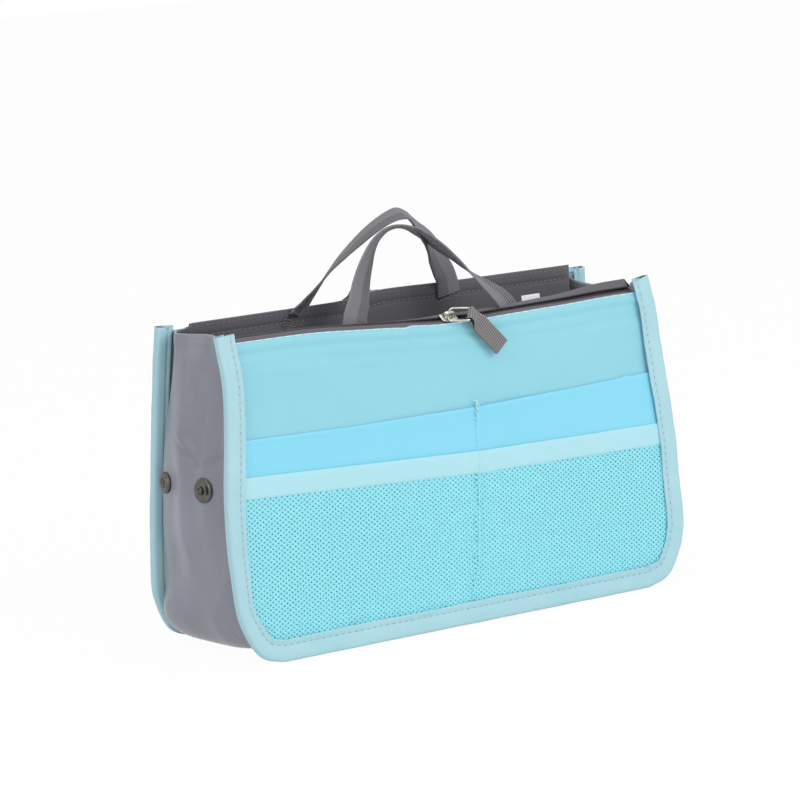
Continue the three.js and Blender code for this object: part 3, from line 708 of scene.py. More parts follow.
stitch_size = (given["Radius"], given["Radius"], stitch_half)
turned = stitch_turn.outputs["Rotation"]
set_beads(stitch_tree, stitch_end, (6, 5), stitch_points["Points"], turned, stitch_size)

# Near-white beads for the hem's painted highlight; the divider's pale thread is the seam's own colour.
hem_highlight_paint = fibre("hem_highlight_paint", "E4FAFE", "D2F3FA", 0.5, 0.1)
seam_thread = fibre("seam_thread", "CDF6FA", "B7ECF4", 0.5, 0.1)


def lines(*runs):
    """Several rows of points as one guide: all the points, and the edges along each row."""
    points = np.vstack(runs)
    edges = []
    start = 0
    for run in runs:
        edges += [(start + i, start + i + 1) for i in range(len(run) - 1)]
        start += len(run)
    return points, edges


def sewn(name, runs, thread, length=2.2, gap=0.7, radius=0.24):
    """Rows of stitches along runs of points; lengths in millimetres."""
    points, edges = lines(*runs)
    sizes = {"Length": length / 1000, "Gap": gap / 1000, "Radius": radius / 1000}
    return grown(name, points, edges, stitch_tree, thread, **sizes)


for wall in WALLS:
    band_low = along(BAND_LOW[wall], CROSSING_X)
    band_high = along(BAND_TOP[wall], CROSSING_X)
    runs = []
    for low_end, high_end, cover, proud in (
        (SEAM_FOOT, band_low - 0.5, net_depth, 0.35),
        (band_low, band_high, net_depth, 1.0),
        (band_high + 0.5, SEAM_TOP, slip_depth, 0.1),
    ):
        height = np.arange(low_end, high_end, 1.5)
        x = along(DIVIDER[wall], height) + SEAM_SHIFT
        runs.append(on_wall(wall, x, cover(wall, x, height) - proud, height))
    bar = np.arange(BAR_STITCHES)
    height = BAR_FOOT + bar * BAR_STEP
    x = along(DIVIDER[wall], height) + SEAM_SHIFT + BAR_HALF * np.where(bar % 2, 1, -1)
    runs.append(on_wall(wall, x, slip_depth(wall, x, 116) - 0.75, height))
    # The hem's painted highlight: a line of near-white beads just under the hem's top edge.
    x = np.arange(-126, 128.1, 2)
    height = panel_top(wall, x) - 0.15
    hem = on_wall(wall, x, panel_depth(wall, x, height) - 0.1, height)
    hem_painted_highlight = sewn(f"{wall}_hem_painted_highlight", [hem], hem_highlight_paint, 6, 0.05, 0.34)
    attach(hem_painted_highlight, WALL_BODY[wall])
    divider = sewn(f"{wall}_divider_seam", runs, seam_thread, 2.2, 0.5, 0.32)
    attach(divider, WALL_BODY[wall])


# Padding sheets. A thin white foam sheet in each wall, loose between the outer panel and the liner,
# keeps the tall wall flat and upright. It is cut smaller than the wall, with rounded lower corners.
PADDING_INSET = 16
PADDING_TOP = 160
PADDING_DEPTH = 0.72
PADDING_THICKNESS = 0.55

padding_foam = woven("padding_foam", "F4F4F0", "E6E6E0", 1.4, 0.9, 0.0, 0.2)


def padding_depth(wall, x, height):
    return np.full_like(x, PADDING_DEPTH)


def padding_top(wall, x):
    return np.full_like(x, PADDING_TOP + RIM_SHIFT[wall])


for wall in WALLS:
    padding = wall_sheet(
        f"{wall}_padding",
        wall,
        padding_foam,
        padding_depth,
        padding_top,
        PADDING_INSET,
        4.0,
        PADDING_THICKNESS,
    )
    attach(padding, WALL_BODY[wall])
    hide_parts(f"{wall}_padding_sheet")


# Liners. The inside of each wall is dark grey nylon. It lies against the panel where both are sewn into
# the binding, and rolls inwards to leave room for what the zipped compartment holds.
LINER_EDGE = 0.7
LINER_FIELD = 9.1
ROLL_START = 12
ROLL_END = 17
RIM_ROLL = {"front": (3.4, 7.6), "rear": (0, 0)}
OVER_COIL = {
    "front": [(-130, -0.6), (-60, 0), (-14, 0.9), (8, 2.4), (45, 1.9), (86, 3), (112, 5), (131, 5.3)],
    "rear": [(-130, 4.3), (-37, 4.4), (-12, 4.9), (8, 5.1), (14, 4.2), (20, 3.3), (32, 2.7), (130, 2.4)],
}

liner_nylon = woven("liner_nylon", "77777D", "5C5C62", 0.45, 0.5, 0.15, 0.15, 0.6)
grey_thread = fibre("grey_thread", "A0A0A6", "86868C", 0.6, 0.1)


def liner_top(wall, x):
    return coil_height(wall, x) + smooth_along(OVER_COIL[wall], x)


def liner_grid(wall):
    """The liner's grid: its flat edge under the binding, the roll inwards, and the slack field."""
    edge = [LAYER_INSET, 5, 8.5, ROLL_START, 13, 14, 15, 16, ROLL_END]
    insets = [*edge, 19.5]
    highest = 173 + RIM_SHIFT[wall]
    rim = np.arange(highest - 13, highest - 0.5, 1.1)
    heights = np.array([*edge, 20, 24, 29, 35, *np.arange(40, highest - 18, 5), *rim, highest])
    at_rim = soft_step(heights, 120, 160)
    drawn = [at_rim * soft_step(inset, 8.5, ROLL_END) for inset in insets]
    left_roll, right_roll = RIM_ROLL[wall]
    left = [side_x(wall, "left", inset, heights) - left_roll * d for inset, d in zip(insets, drawn)]
    right = [side_x(wall, "right", inset, heights) + right_roll * d for inset, d in zip(insets, drawn)]
    between = [left[-1] + (right[-1] - left[-1]) * share for share in np.linspace(0, 1, 56)[1:-1]]
    x = np.stack([*left, *between, *right[::-1]], axis=1)
    reach = np.array([*insets, *([40] * len(between)), *insets[::-1]])[None, :]
    height = np.repeat(heights[:, None], x.shape[1], axis=1)
    reach = np.minimum(reach, height)
    rise = soft_step(reach, ROLL_START, ROLL_END)
    depth = LINER_EDGE + (LINER_FIELD - LINER_EDGE) * rise
    free = soft_step(reach, 18, 45) * (1 - soft_step(height, 140, 158))
    folds = 0.7 * np.sin(x / 23 + height / 51) * np.sin(height / 27 - x / 80 + 1)
    below = highest - height
    hem = 0.28 * bump(below, 7.4, 0.8) - 0.3 * (1 - soft_step(below, 5.6, 6.8))
    depth = depth + free * folds - hem * (rise > 0.999)
    height = height + (liner_top(wall, x) - highest) * soft_step(height, highest - 40, highest)
    low_edge = panel_top(wall, x)
    under_zip = low_edge + (liner_top(wall, x) - low_edge) * np.clip(depth / LINER_FIELD, 0, 1) - 1.6
    height = np.where(rise > 0.999, height, np.minimum(height, under_zip))
    return x, depth, height


for wall in WALLS:
    x, depth, height = liner_grid(wall)
    liner = wall_cloth(f"{wall}_liner_cloth", wall, x, depth, height, NYLON, liner_nylon)
    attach(liner, WALL_BODY[wall])
    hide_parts(f"{wall}_liner")
    x = np.arange(-124, 124.1, 4)
    hem_runs = [in_bag(wall, x, LINER_FIELD + NYLON + 0.2, liner_top(wall, x) - drop) for drop in (7.4, 1.8)]
    hem_stitches = sewn(f"{wall}_liner_hem_stitches", hem_runs, grey_thread, 2.4, 0.9, 0.22)
    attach(hem_stitches, WALL_BODY[wall])


# Base strip. A narrow band of the grey gusset cloth closes the bag between the feet of the two walls.
# Its long edges turn down into the bindings, and its middle sags between them.
FLANGE_DEPTH = 1.8
BASE_SAG = 8.2
GUSSET_INSET = 11

gusset_nylon = woven("gusset_nylon", "A8A9B4", "757782", 0.5, 0.31, 0.35, 0.2, 0.8, 1.0, 0.95)

rows_across = []
for wall in WALLS:
    flange = [in_bag(wall, 0, FLANGE_DEPTH, high) for high in (LAYER_INSET, 5, 8.5, 10.4)]
    turn_in = in_bag(wall, 0, FLANGE_DEPTH + 1.1, 11.1)
    rows_across.append([*flange, turn_in])
section = [(p[1], p[2]) for p in rows_across[0]]
far_section = [(p[1], p[2]) for p in rows_across[1]][::-1]
for y in far_section[0][0] * np.sin(np.linspace(-math.pi / 2, math.pi / 2, 20)[1:-1]):
    drop = BASE_SAG / 1000 * (1 - (y / far_section[0][0]) ** 2) ** 0.45
    section.append((y, section[4][1] - drop))
section = np.array(section + far_section)
lengths = np.linspace(-120.6, 120.6, 60) / 1000
slope = unit(np.gradient(section, axis=0))
lifted = section + NYLON / 1000 * np.column_stack([-slope[:, 1], slope[:, 0]])
uneven = 0.0004 * np.sin(lengths * 90)[:, None] * bump(np.arange(len(section)), 14, 6)[None, :]


def base_grid(line):
    return np.stack(
        [
            np.repeat(lengths[:, None], len(line), axis=1),
            np.repeat(line[None, :, 0], len(lengths), axis=0),
            line[None, :, 1] + uneven,
        ],
        axis=-1,
    )


base_uv = grid_uv(lengths, run_along(section))
base = cloth_shell("base_strip", base_grid(lifted), base_grid(section), gusset_nylon, base_uv)
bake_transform(base)
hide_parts("base_panel")


# Gussets. At each end a strip of satin grey nylon joins the walls from the rim down and round to the
# base. It stands out flat between the two snaps, swells over the foot, and is hemmed at its top.
GUSSET_ROWS = 112
GUSSET_COLUMNS = 61
RIDGE_Y = 14
RIDGE_BULGE = 17
RIDGE_BULGE_TOP = 7
PLATEAU = (70, 114)
GUSSET_TOP = 171.5
SNAP_HEIGHT = 92
SNAP_Y = {"stud": -12, "socket": 22}
# The front wall's and the rear wall's own side that each end is sewn to
GUSSET_SEAMS = {"left": ("left", "right"), "right": ("right", "left")}
# How far the cloth stands out between the two walls, as shares of the ridge: flat between the two snaps
SNAP_FACE = [(-1, 0), (-0.66, 0.3), (-0.34, 0.525), (0.14, 0.6), (0.62, 0.61), (0.82, 0.53), (1, 0)]
# The swell over the foot: its middle height, its reach, and how much of that reach counts downwards
HEEL_HEIGHT = 19
HEEL_OUT = 8
HEEL_DOWN = 0.25
# Where the strip begins to turn under, and over what height
TURN_HEIGHT = 27
TURN_SPAN = 16
# How far the hemmed top is drawn up or down between the walls
RIM_DRAW = {"left": 1.5, "right": -7}


def fold_out(height):
    """How far the ridge stands out at a height."""
    low = RIDGE_BULGE * (0.45 + 0.55 * soft_step(height, TURN_HEIGHT, PLATEAU[0]))
    share = np.clip((height - PLATEAU[1]) / (GUSSET_TOP - PLATEAU[1]), 0, 1)
    return low + (RIDGE_BULGE_TOP - RIDGE_BULGE) * share


def seam_rows(wall, hand, count):
    """The gusset's seam from the rim round to the foot: its edge under the binding, halfway, and its root."""
    root, outward = inset_line(wall, hand, GUSSET_INSET)
    keep = (root[:, 0] > 120) & (root[:, 1] <= GUSSET_TOP + 3)
    root = root[keep]
    outward = outward[keep]
    run = run_along(root)
    start = np.interp(-GUSSET_TOP, -root[:, 1], run)
    stops = np.linspace(start, run[-1], count)
    root = np.column_stack([np.interp(stops, run, c) for c in root.T])
    outward = np.column_stack([np.interp(stops, run, c) for c in outward.T])
    tip = root + (GUSSET_INSET - LAYER_INSET) * outward

    def place(points):
        return on_wall(wall, HANDS[hand] * points[:, 0], FLANGE_DEPTH, points[:, 1])

    return place(tip), place((tip + root) / 2), place(root)


def ridge_shares(front_y, rear_y, share, height):
    """How far the cloth stands out from seam to seam, as shares of the ridge, with its corners rounded."""
    peak = (RIDGE_Y - front_y) / (rear_y - front_y)
    tent = np.minimum(share / peak, (1 - share) / (1 - peak))
    flat = np.interp(2 * share - 1, *zip(*SNAP_FACE))
    tent = flat + (tent - flat) * soft_step(height, 112, 168)
    kernel = np.exp(-np.linspace(-2, 2, 9) ** 2)
    padded = np.concatenate([-tent[4:0:-1], tent, -tent[-2:-6:-1]])
    return np.convolve(padded, kernel / kernel.sum(), mode="valid")


def gusset_folds(y, z):
    """Soft bands down the slack cloth, a V tuck over the stud and a slanted crease over the foot."""
    bands = 0.35 * np.sin(y / 3.6 + 0.8 * np.sin(z / 24)) * soft_step(z, 20, 60)
    bands += 1.7 * np.sin(y / 6.5 + 0.5 + 0.5 * np.sin(z / 31)) * soft_step(z, 30, 70)
    bands += (2.4 * bump(y - 2, 0, 6) - 3.2 * bump(y + 20, 0, 5)) * bump(z, 140, 26)
    from_tuck = z - SNAP_HEIGHT - 10 - np.where(y > -10, 0.68, -0.52) * (y + 10)
    creases = (1.8 * bump(from_tuck, 3.6, 2.2) - 1.9 * bump(from_tuck, 0, 1.8)) * bump(y, -10, 16)
    creases += 0.8 * bump(y + 24 + (z - 40) * 0.5, 0, 4) * bump(z, 40, 20)
    return bands + creases


def gusset_grids(end):
    """The gusset's outer and inner face, as rows of points from the rim down and round to the foot."""
    front_hand, rear_hand = GUSSET_SEAMS[end]
    sign = HANDS[end]
    front = seam_rows("front", front_hand, GUSSET_ROWS)
    rear = seam_rows("rear", rear_hand, GUSSET_ROWS)
    share = np.linspace(0, 1, GUSSET_COLUMNS)
    slack = np.sin(np.pi * share)
    rows = []
    for i in range(GUSSET_ROWS):
        start = front[2][i] * 1000
        stop = rear[2][i] * 1000
        height = (start[2] + stop[2]) / 2
        line = start + (stop - start) * share[:, None]
        y = line[:, 1]
        z = line[:, 2]
        near_snap = sum(bump(y, snap_y, 10) for snap_y in SNAP_Y.values()) * bump(z, SNAP_HEIGHT, 13)
        free = np.clip(1 - 1.6 * near_snap, 0, 1) * slack ** 0.5
        tent = ridge_shares(start[1], stop[1], share, height)
        line[:, 0] += sign * (fold_out(height) * tent + free * gusset_folds(y, z))
        sag = BASE_SAG * slack ** 0.45 * (1 - soft_step(height, 12, 62))
        turned = min(max((TURN_HEIGHT - height) / TURN_SPAN, 0), 1) * math.pi / 2
        line[:, 0] += sign * sag * math.cos(turned)
        line[:, 2] -= sag * math.sin(turned)
        heel = HEEL_OUT * bump(height, HEEL_HEIGHT, 10) * soft_step(share, 0.4, 0.85) * (1 - share ** 12)
        line[:, 0] += sign * heel * math.cos(turned)
        line[:, 2] -= HEEL_DOWN * heel * math.sin(turned)
        line[:, 2] += RIM_DRAW[end] * soft_step(z, 146, GUSSET_TOP) * slack ** 0.5
        flare = 1.2 * soft_step(z, 158, GUSSET_TOP) * np.sin(share * 9 + 0.6) * free
        line[:, 0] += sign * flare
        edges = [seam[k][i] * 1000 for seam, k in ((front, 0), (front, 1), (rear, 1), (rear, 0))]
        rows.append(np.vstack([*edges[:2], line, *edges[2:]]))
    rows = np.array(rows)
    normal = unit(np.cross(np.gradient(rows, axis=0), np.gradient(rows, axis=1)))
    normal *= np.sign((normal[..., 0] * sign).mean())
    hem = 0.35 * (1 - soft_step(np.arange(GUSSET_ROWS), 2.6, 4.2))[:, None, None]
    half = normal * (NYLON / 2 + hem)
    return (rows + half) / 1000, (rows - half) / 1000


gusset_faces = {}
for end in GUSSET_SEAMS:
    outer, inner = gusset_grids(end)
    gusset_faces[end] = outer, inner
    uv = grid_uv(run_along(outer[:, 30]), run_along(outer[30]))[..., ::-1]
    gusset = cloth_shell(f"{end}_gusset_cloth", outer, inner, gusset_nylon, uv)
    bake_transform(gusset)
    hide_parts(f"gusset_{end}")


# Press snaps. Each end has one stud and one socket of dark plated metal, riveted through the gusset to a
# domed cap inside. Pressed together, they fold the gusset in and narrow the bag.
snap_metal = metal("snap_metal", "74736D", "4C4B46", 0.34)

# Each profile runs from the outer face's middle to the seat's, as radii and heights
SNAP_PROFILES = {
    "stud": [
        (0, 2.5), (0.9, 2.6), (1.35, 3.1), (1.6, 3.7), (1.85, 3.9), (2.15, 3.75), (2.3, 3.3), (2.2, 2.2),
        (2.3, 1.4), (2.7, 1.15), (3.6, 1.1), (4.4, 1.25), (5.2, 1.42), (5.8, 1.4), (6.35, 1.1),
        (6.7, 0.6), (6.75, 0.2), (6.6, 0), (0, 0),
    ],
    "socket": [
        (0, 0.8), (1.6, 0.85), (2.4, 0.95), (2.7, 1.3), (2.75, 1.8), (3.0, 2.05), (3.6, 2.0),
        (4.6, 2.02), (5.2, 1.8), (5.65, 1.35), (5.8, 0.8), (5.8, 0.2), (5.65, 0), (0, 0),
    ],
    "cap": [
        (0, 1.25), (1.6, 1.22), (3.4, 1.05), (4.9, 0.72), (5.7, 0.38), (6.0, 0.1), (5.9, 0), (0, 0),
    ],
}


def turned_part(name, profile, base, axis, material, segments=40):
    """A closed turned part: radius and height pairs about an axis."""
    turn = axis.to_track_quat("Z", "Y").to_matrix()
    points = []
    faces = []
    rings = [pair for pair in profile if pair[0] > 0]
    for radius, height in rings:
        for i in range(segments):
            angle = 2 * math.pi * i / segments
            local = Vector((radius * math.cos(angle), radius * math.sin(angle), height)) / 1000
            points.append(base + turn @ local)
    top = len(points)
    points.append(base + turn @ Vector((0, 0, profile[0][1] / 1000)))
    points.append(base + turn @ Vector((0, 0, profile[-1][1] / 1000)))
    for i in range(segments):
        j = (i + 1) % segments
        faces.append((top, i, j))
        for ring in range(len(rings) - 1):
            a = ring * segments
            faces.append((a + i, a + segments + i, a + segments + j, a + j))
        last = (len(rings) - 1) * segments
        faces.append((top + 1, last + j, last + i))
    return make_object(name, points, faces, material)


def node_points(name):
    """A CAD node's points, in metres."""
    return np.array([vertex.co[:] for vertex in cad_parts[name].data.vertices])


def seat_on(cloth, place):
    """Where a disc near a place sits on a cloth, and the cloth's outward direction there."""
    distance = np.linalg.norm(cloth - place, axis=-1)
    middle = cloth[np.unravel_index(distance.argmin(), distance.shape)]
    near = cloth[np.linalg.norm(cloth - middle, axis=-1) < 0.006]
    middle = near.mean(axis=0)
    outward = np.linalg.svd(near - middle)[2][2]
    outward *= np.sign(outward[0] * place[0])
    seat = place + outward * np.dot(middle - place, outward)
    return Vector(seat.tolist()), Vector(outward.tolist())


for end in GUSSET_SEAMS:
    outer, inner = gusset_faces[end]
    for kind in SNAP_Y:
        node = f"{end}_snap_{kind}"
        seat, outward = seat_on(outer, node_points(node).mean(axis=0))
        snap = turned_part(f"{node}_metal", SNAP_PROFILES[kind], seat, outward, snap_metal)
        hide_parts(node)
        seat, outward = seat_on(inner, node_points(f"{node}_cap").mean(axis=0))
        cap = turned_part(f"{node}_cap_metal", SNAP_PROFILES["cap"], seat, -outward, snap_metal)
        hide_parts(f"{node}_cap")
        for part in (snap, cap):
            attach(part, "bag_body")


# Bindings. A 25 mm turquoise tape, folded in half over the raw edges, runs down both sides and along the
# foot of each wall. It is sewn through all the layers, with its inner edge standing up as a thin lip.
BINDING_WIDTH = 12.5
# The tape's seen width at each height of the front's left side, as a share of the full width
NARROW = [(0, 0.95), (30, 0.62), (55, 0.72), (90, 0.8), (176, 0.77)]
STITCH_INSET = 9.2
STITCH_DEPTH = -2.28
# The folded tape's section, as insets from the wall's edge and depths
BINDING_PROFILE = [
    (12.5, -2.1), (12.45, -2.75), (12.1, -3.0), (11.5, -2.9), (10.7, -2.62), (9.8, -2.5), (9.2, -2.1),
    (8.6, -2.5), (7.2, -2.66), (5.6, -2.72), (4, -2.7), (2.7, -2.62), (1.6, -2.4), (0.75, -1.95),
    (0.2, -1.2), (0, -0.2), (-0.05, 0.8), (0, 1.6), (0.2, 2.4), (0.75, 3.05), (1.6, 3.4), (2.8, 3.5),
    (4.6, 3.55), (5.6, 3.5), (6.2, 2.95), (6.8, 3.5), (8.2, 3.45), (8.7, 3.2), (8.5, 2.85),
    (6.6, 2.8), (6.2, 2.6), (5.6, 2.8), (4.6, 2.85), (2.8, 2.8), (1.8, 2.7), (1.2, 2.3), (1, 1.9),
    (0.95, 0.8), (1, -0.2), (1.15, -1), (1.6, -1.65), (2.7, -1.9), (4, -1.95), (5.6, -1.97),
    (7.2, -1.95), (9.2, -1.9), (10.7, -1.92), (11.8, -1.96),
]

binding_tape = woven("binding_tape", "C8EAF2", "9AD2DE", 0.8, 0.6, 0.25, 0.45, 0.6, 0.5)
# The binding's stitch thread is darker than the tape: painted shade for the dimples its needle holes make.
binding_thread_painted_shade = fibre("binding_thread_painted_shade", "9EC3CE", "8CB3BF", 0.6, 0.1)


def binding_stations(wall):
    """The whole edge of a wall from one top end round to the other: points and outward directions."""
    stations = []
    for hand in HANDS:
        line, outward = inset_line(wall, hand, 0)
        signed = np.column_stack([HANDS[hand] * line[:, 0], line[:, 1]])
        outs = np.column_stack([HANDS[hand] * outward[:, 0], outward[:, 1]])
        stations.append((signed, outs))
    line = np.vstack([stations[0][0], stations[1][0][-2::-1]])
    outs = np.vstack([stations[0][1], stations[1][1][-2::-1]])
    outs[len(stations[0][1]) - 1] = (0, -1)
    return line, outs, run_along(line)


def binding_place(wall, line, outs, run, inset, depth):
    """A point of the folded tape at each station, with the slow waves and corner gathers of sewn tape."""
    x = line[:, 0]
    height = line[:, 1]
    if wall == "front":
        narrow = 1 + (along(NARROW, height) - 1) * soft_step(-x, 112, 132)
        inset = np.minimum(inset, 2) + (inset - np.minimum(inset, 2)) * narrow
    corner = bump(np.abs(x), 137, 14) * bump(height, 8, 14)
    gathers = 0.45 * np.sin(run * 1.25) * corner * (inset / BINDING_WIDTH)
    waves = 0.3 * np.sin(run / 5.1) * np.sin(run / 23 + 1) + 0.12 * np.sin(run / 1.7) * np.sin(run / 11)
    outer = soft_step(-depth, -1, 2)
    lip = -0.3 * bump(inset, 12.3, 0.9) * soft_step(x, 60, 130) * outer
    crease = 0.8 * bump(inset, 2.2, 1.1) * outer * soft_step(-x, 110, 130) * soft_step(height, 112, 136)
    place = line - (inset + 0.25 * np.sin(run / 13 + 2) * (inset > 11))[:, None] * outs
    deep = depth + (gathers + waves) * outer + lip + crease
    points = on_wall(wall, place[:, 0], deep, place[:, 1])
    points[:, 2] = np.maximum(points[:, 2], 0)
    return points


for wall in WALLS:
    stations = binding_stations(wall)
    rings = np.stack([binding_place(wall, *stations, *pair) for pair in BINDING_PROFILE], axis=1)
    count, around, _ = rings.shape
    faces = ring_faces(count, around)
    for first in (0, (count - 1) * around):
        for j in range(around // 2 - 1):
            cap_face = (first + j, first + around - 1 - j, first + around - 2 - j, first + j + 1)
            faces.append(cap_face[::-1] if first else cap_face)
    uv = grid_uv(stations[2], run_along(BINDING_PROFILE)).reshape(-1, 2) / 1000
    points = rings.reshape(-1, 3)
    faces = facing_out(points, faces)
    binding = make_object(f"{wall}_binding_tape", points, faces, binding_tape, uv)
    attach(binding, WALL_BODY[wall])
    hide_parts(f"{wall}_binding")
    seam = binding_place(wall, *stations, STITCH_INSET, STITCH_DEPTH)
    stitches = sewn(f"{wall}_binding_stitches", [seam[2:-2]], binding_thread_painted_shade, 1.7, 2.3, 0.3)
    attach(stitches, WALL_BODY[wall])


# Zips. Each wall's compartment closes with a coil zip that slopes from the panel's hem up to the liner's
# top. Its two grey tapes are sewn in along their outer edges, and a dark nylon coil is sewn to each.
ZIP_MIDDLE = 4.675
ZIP_ENDS = {"front": (-127.6, 130.4), "rear": (-123.4, 123.4)}
ZIP_TILT = math.atan2(7, 8.85)
COIL_TILT = {
    "front": [
        (-130, 6), (-60, 9), (-20, 14), (-6, 28), (2, 38), (13, 38), (24, 30), (45, 22), (86, 32),
        (114, 40), (131, 42),
    ],
    "rear": [(-130, 44), (-14, 44), (-4, 38.3), (10, 38.3), (24, 36), (130, 33)],
}
COIL_PITCH = 1.25
TOOTH_HALF = 0.43
COIL_SPAN = (0.34, 2.1)
COIL_HEIGHT = 1.4

tape_weave = woven("tape_weave", "6E6A70", "57545A", 0.6, 0.65, 0.1, 0.35, 0.25, 0.4)
coil_nylon = fibre("coil_nylon", "2C2728", "1A1718", 0.35, 0.0)


def coil_tilt(wall, x):
    return np.radians(smooth_along(COIL_TILT[wall], x))


def on_coil(wall, x, across, above):
    """A point by its place along the zip, across it towards the liner, and above it, in metres."""
    tilt = coil_tilt(wall, x)
    depth = ZIP_MIDDLE + across * np.cos(tilt) - above * np.sin(tilt)
    height = coil_height(wall, x) + across * np.sin(tilt) + above * np.cos(tilt)
    return in_bag(wall, x, depth, height)


tooth_tree, given, tooth_end = new_tree("coil_teeth", ["Long", "Across", "Above", "Spin"])
tilt_name = {"Name": "tilt"}
tooth_tilt = add_node(tooth_tree, "GeometryNodeInputNamedAttribute", tilt_name, data_type="FLOAT")
lean_and_spin = {"X": tooth_tilt.outputs["Attribute"], "Z": given["Spin"]}
tooth_turn = add_node(tooth_tree, "ShaderNodeCombineXYZ", lean_and_spin).outputs[0]
tooth_size = (given["Long"], given["Across"], given["Above"])
set_beads(tooth_tree, tooth_end, (8, 6), given["Guide"], tooth_turn, tooth_size)

coil_thread = fibre("coil_thread", "6A6A70", "55555B", 0.6, 0.1)

for wall in WALLS:
    left_end, right_end = ZIP_ENDS[wall]
    x = np.linspace(left_end, right_end, 107)
    for side, sign in (("outer", -1), ("inner", 1)):
        tilt = coil_tilt(wall, x)
        coil = coil_height(wall, x)
        from_coil = [
            (ZIP_MIDDLE + sign * a * np.cos(tilt), coil + sign * a * np.sin(tilt)) for a in (1.9, 2.3, 2.7)
        ]
        if side == "outer":
            top = panel_top(wall, x)
            to_cloth = [(0.9, top - 0.3), (0.8, top - 1.4), (0.8, top - 2.8), (0.8, top - 4.2)]
        else:
            top = liner_top(wall, x)
            to_cloth = [(8.6, top - 0.35), (8.8, top - 1.3), (8.8, top - 2.6), (8.8, top - 4)]
        last = from_coil[-1]
        between = [
            (last[0] + (to_cloth[0][0] - last[0]) * t, last[1] + (to_cloth[0][1] - last[1]) * t)
            for t in (0.33, 0.7)
        ]
        middle = np.array([np.broadcast_arrays(d + 0 * x, h) for d, h in from_coil + between + to_cloth])
        middle = middle.transpose(2, 0, 1)
        slope = unit(np.gradient(middle, axis=1))
        normal = np.stack([-slope[..., 1], slope[..., 0]], axis=-1) * 0.25
        grids = [
            in_bag(wall, x[:, None], (middle + turn * normal)[..., 0], (middle + turn * normal)[..., 1])
            for turn in (1, -1)
        ]
        uv = grid_uv(x, run_along(middle[40])) / 1000
        tape = cloth_shell(f"{wall}_tape_{side}", grids[0], grids[1], tape_weave, uv)
        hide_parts(f"{wall}_zip_tape_{side}")
        first_tooth = left_end + 0.9 + (0 if sign > 0 else COIL_PITCH / 2)
        teeth_x = np.arange(first_tooth, right_end - 0.7, COIL_PITCH)
        teeth = grown(
            f"{wall}_coil_{side}_teeth",
            on_coil(wall, teeth_x, sign * sum(COIL_SPAN) / 2, 0),
            [],
            tooth_tree,
            coil_nylon,
            Long=TOOTH_HALF / 1000,
            Across=(COIL_SPAN[1] - COIL_SPAN[0]) / 2000,
            Above=COIL_HEIGHT / 2000,
            tilt=coil_tilt(wall, teeth_x) - WALL_LEAN,
            Spin=0.0 if wall == "front" else math.pi,
        )
        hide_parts(f"{wall}_zip_coil_{side}")
        stitch_x = np.arange(left_end + 1, right_end - 1, 2.5)
        stitch_line = on_coil(wall, stitch_x, sign * 1.75, 0.5)
        sewing = sewn(f"{wall}_coil_{side}_stitches", [stitch_line], coil_thread, 1.0, 0.25, 0.17)
        for part in (tape, teeth, sewing):
            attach(part, WALL_BODY[wall])


# Sliders. Each zip has one cast, nickel plated slider: two shield shaped plates joined by a post, with
# lips that hold the coils, and a bridge on top that carries the wire ring.
SLIDER_LENGTH = 10
SLIDER_HALF = 3.4
SLIDER_INSIDE = 1.0
SHIELD_NARROW = 0.16
BRIDGE_HALF = 3.15
BRIDGE_TOP = 4.65

slider_metal = metal("slider_metal", "D8D7D0", "A9A7A0", 0.24)


def on_zip(wall, x, across, above):
    """A point in the slider's own frame, by its place along, across and above the zip, in metres."""
    depth = ZIP_MIDDLE + across * math.cos(ZIP_TILT) - above * math.sin(ZIP_TILT)
    height = COIL_BASE + RIM_SHIFT[wall] + across * math.sin(ZIP_TILT) + above * math.cos(ZIP_TILT)
    return in_bag(wall, SLIDER_X[wall] + x, depth, height)


def lofted(name, rings, material, closed=False, uv=None):
    """A closed body through rings of points; its two ends are capped unless the rings come round."""
    rings = np.asarray(rings)
    count, around, _ = rings.shape
    points = rings.reshape(-1, 3)
    faces = ring_faces(count, around, closed)
    if not closed:
        faces.append(tuple(range(around))[::-1])
        faces.append(tuple(range((count - 1) * around, count * around)))
    return make_object(name, points, facing_out(points, faces), material, uv)


def round_block(half_x, half_y, corner, count=6):
    """A rectangle with rounded corners, as pairs, counterclockwise."""
    pairs = []
    for turn, (sign_x, sign_y) in enumerate(((1, 1), (-1, 1), (-1, -1), (1, -1))):
        for i in range(count + 1):
            angle = math.pi / 2 * (turn + i / count)
            x = sign_x * (half_x - corner) + corner * math.cos(angle)
            pairs.append((x, sign_y * (half_y - corner) + corner * math.sin(angle)))
    return np.array(pairs)


def shield(half_x, half_y, corner):
    """A slider plate's outline: wide at the end that opens the zip, narrower at the other."""
    pairs = round_block(half_x, half_y, corner)
    narrow = 1 - SHIELD_NARROW * soft_step(-pairs[:, 0], -half_x * 0.2, half_x)
    return np.column_stack([pairs[:, 0], pairs[:, 1] * narrow])


def joined(name, parts):
    """Several bodies of one real piece as one object."""
    with bpy.context.temp_override(active_object=parts[0], selected_editable_objects=parts):
        bpy.ops.object.join()
    parts[0].name = name
    return parts[0]


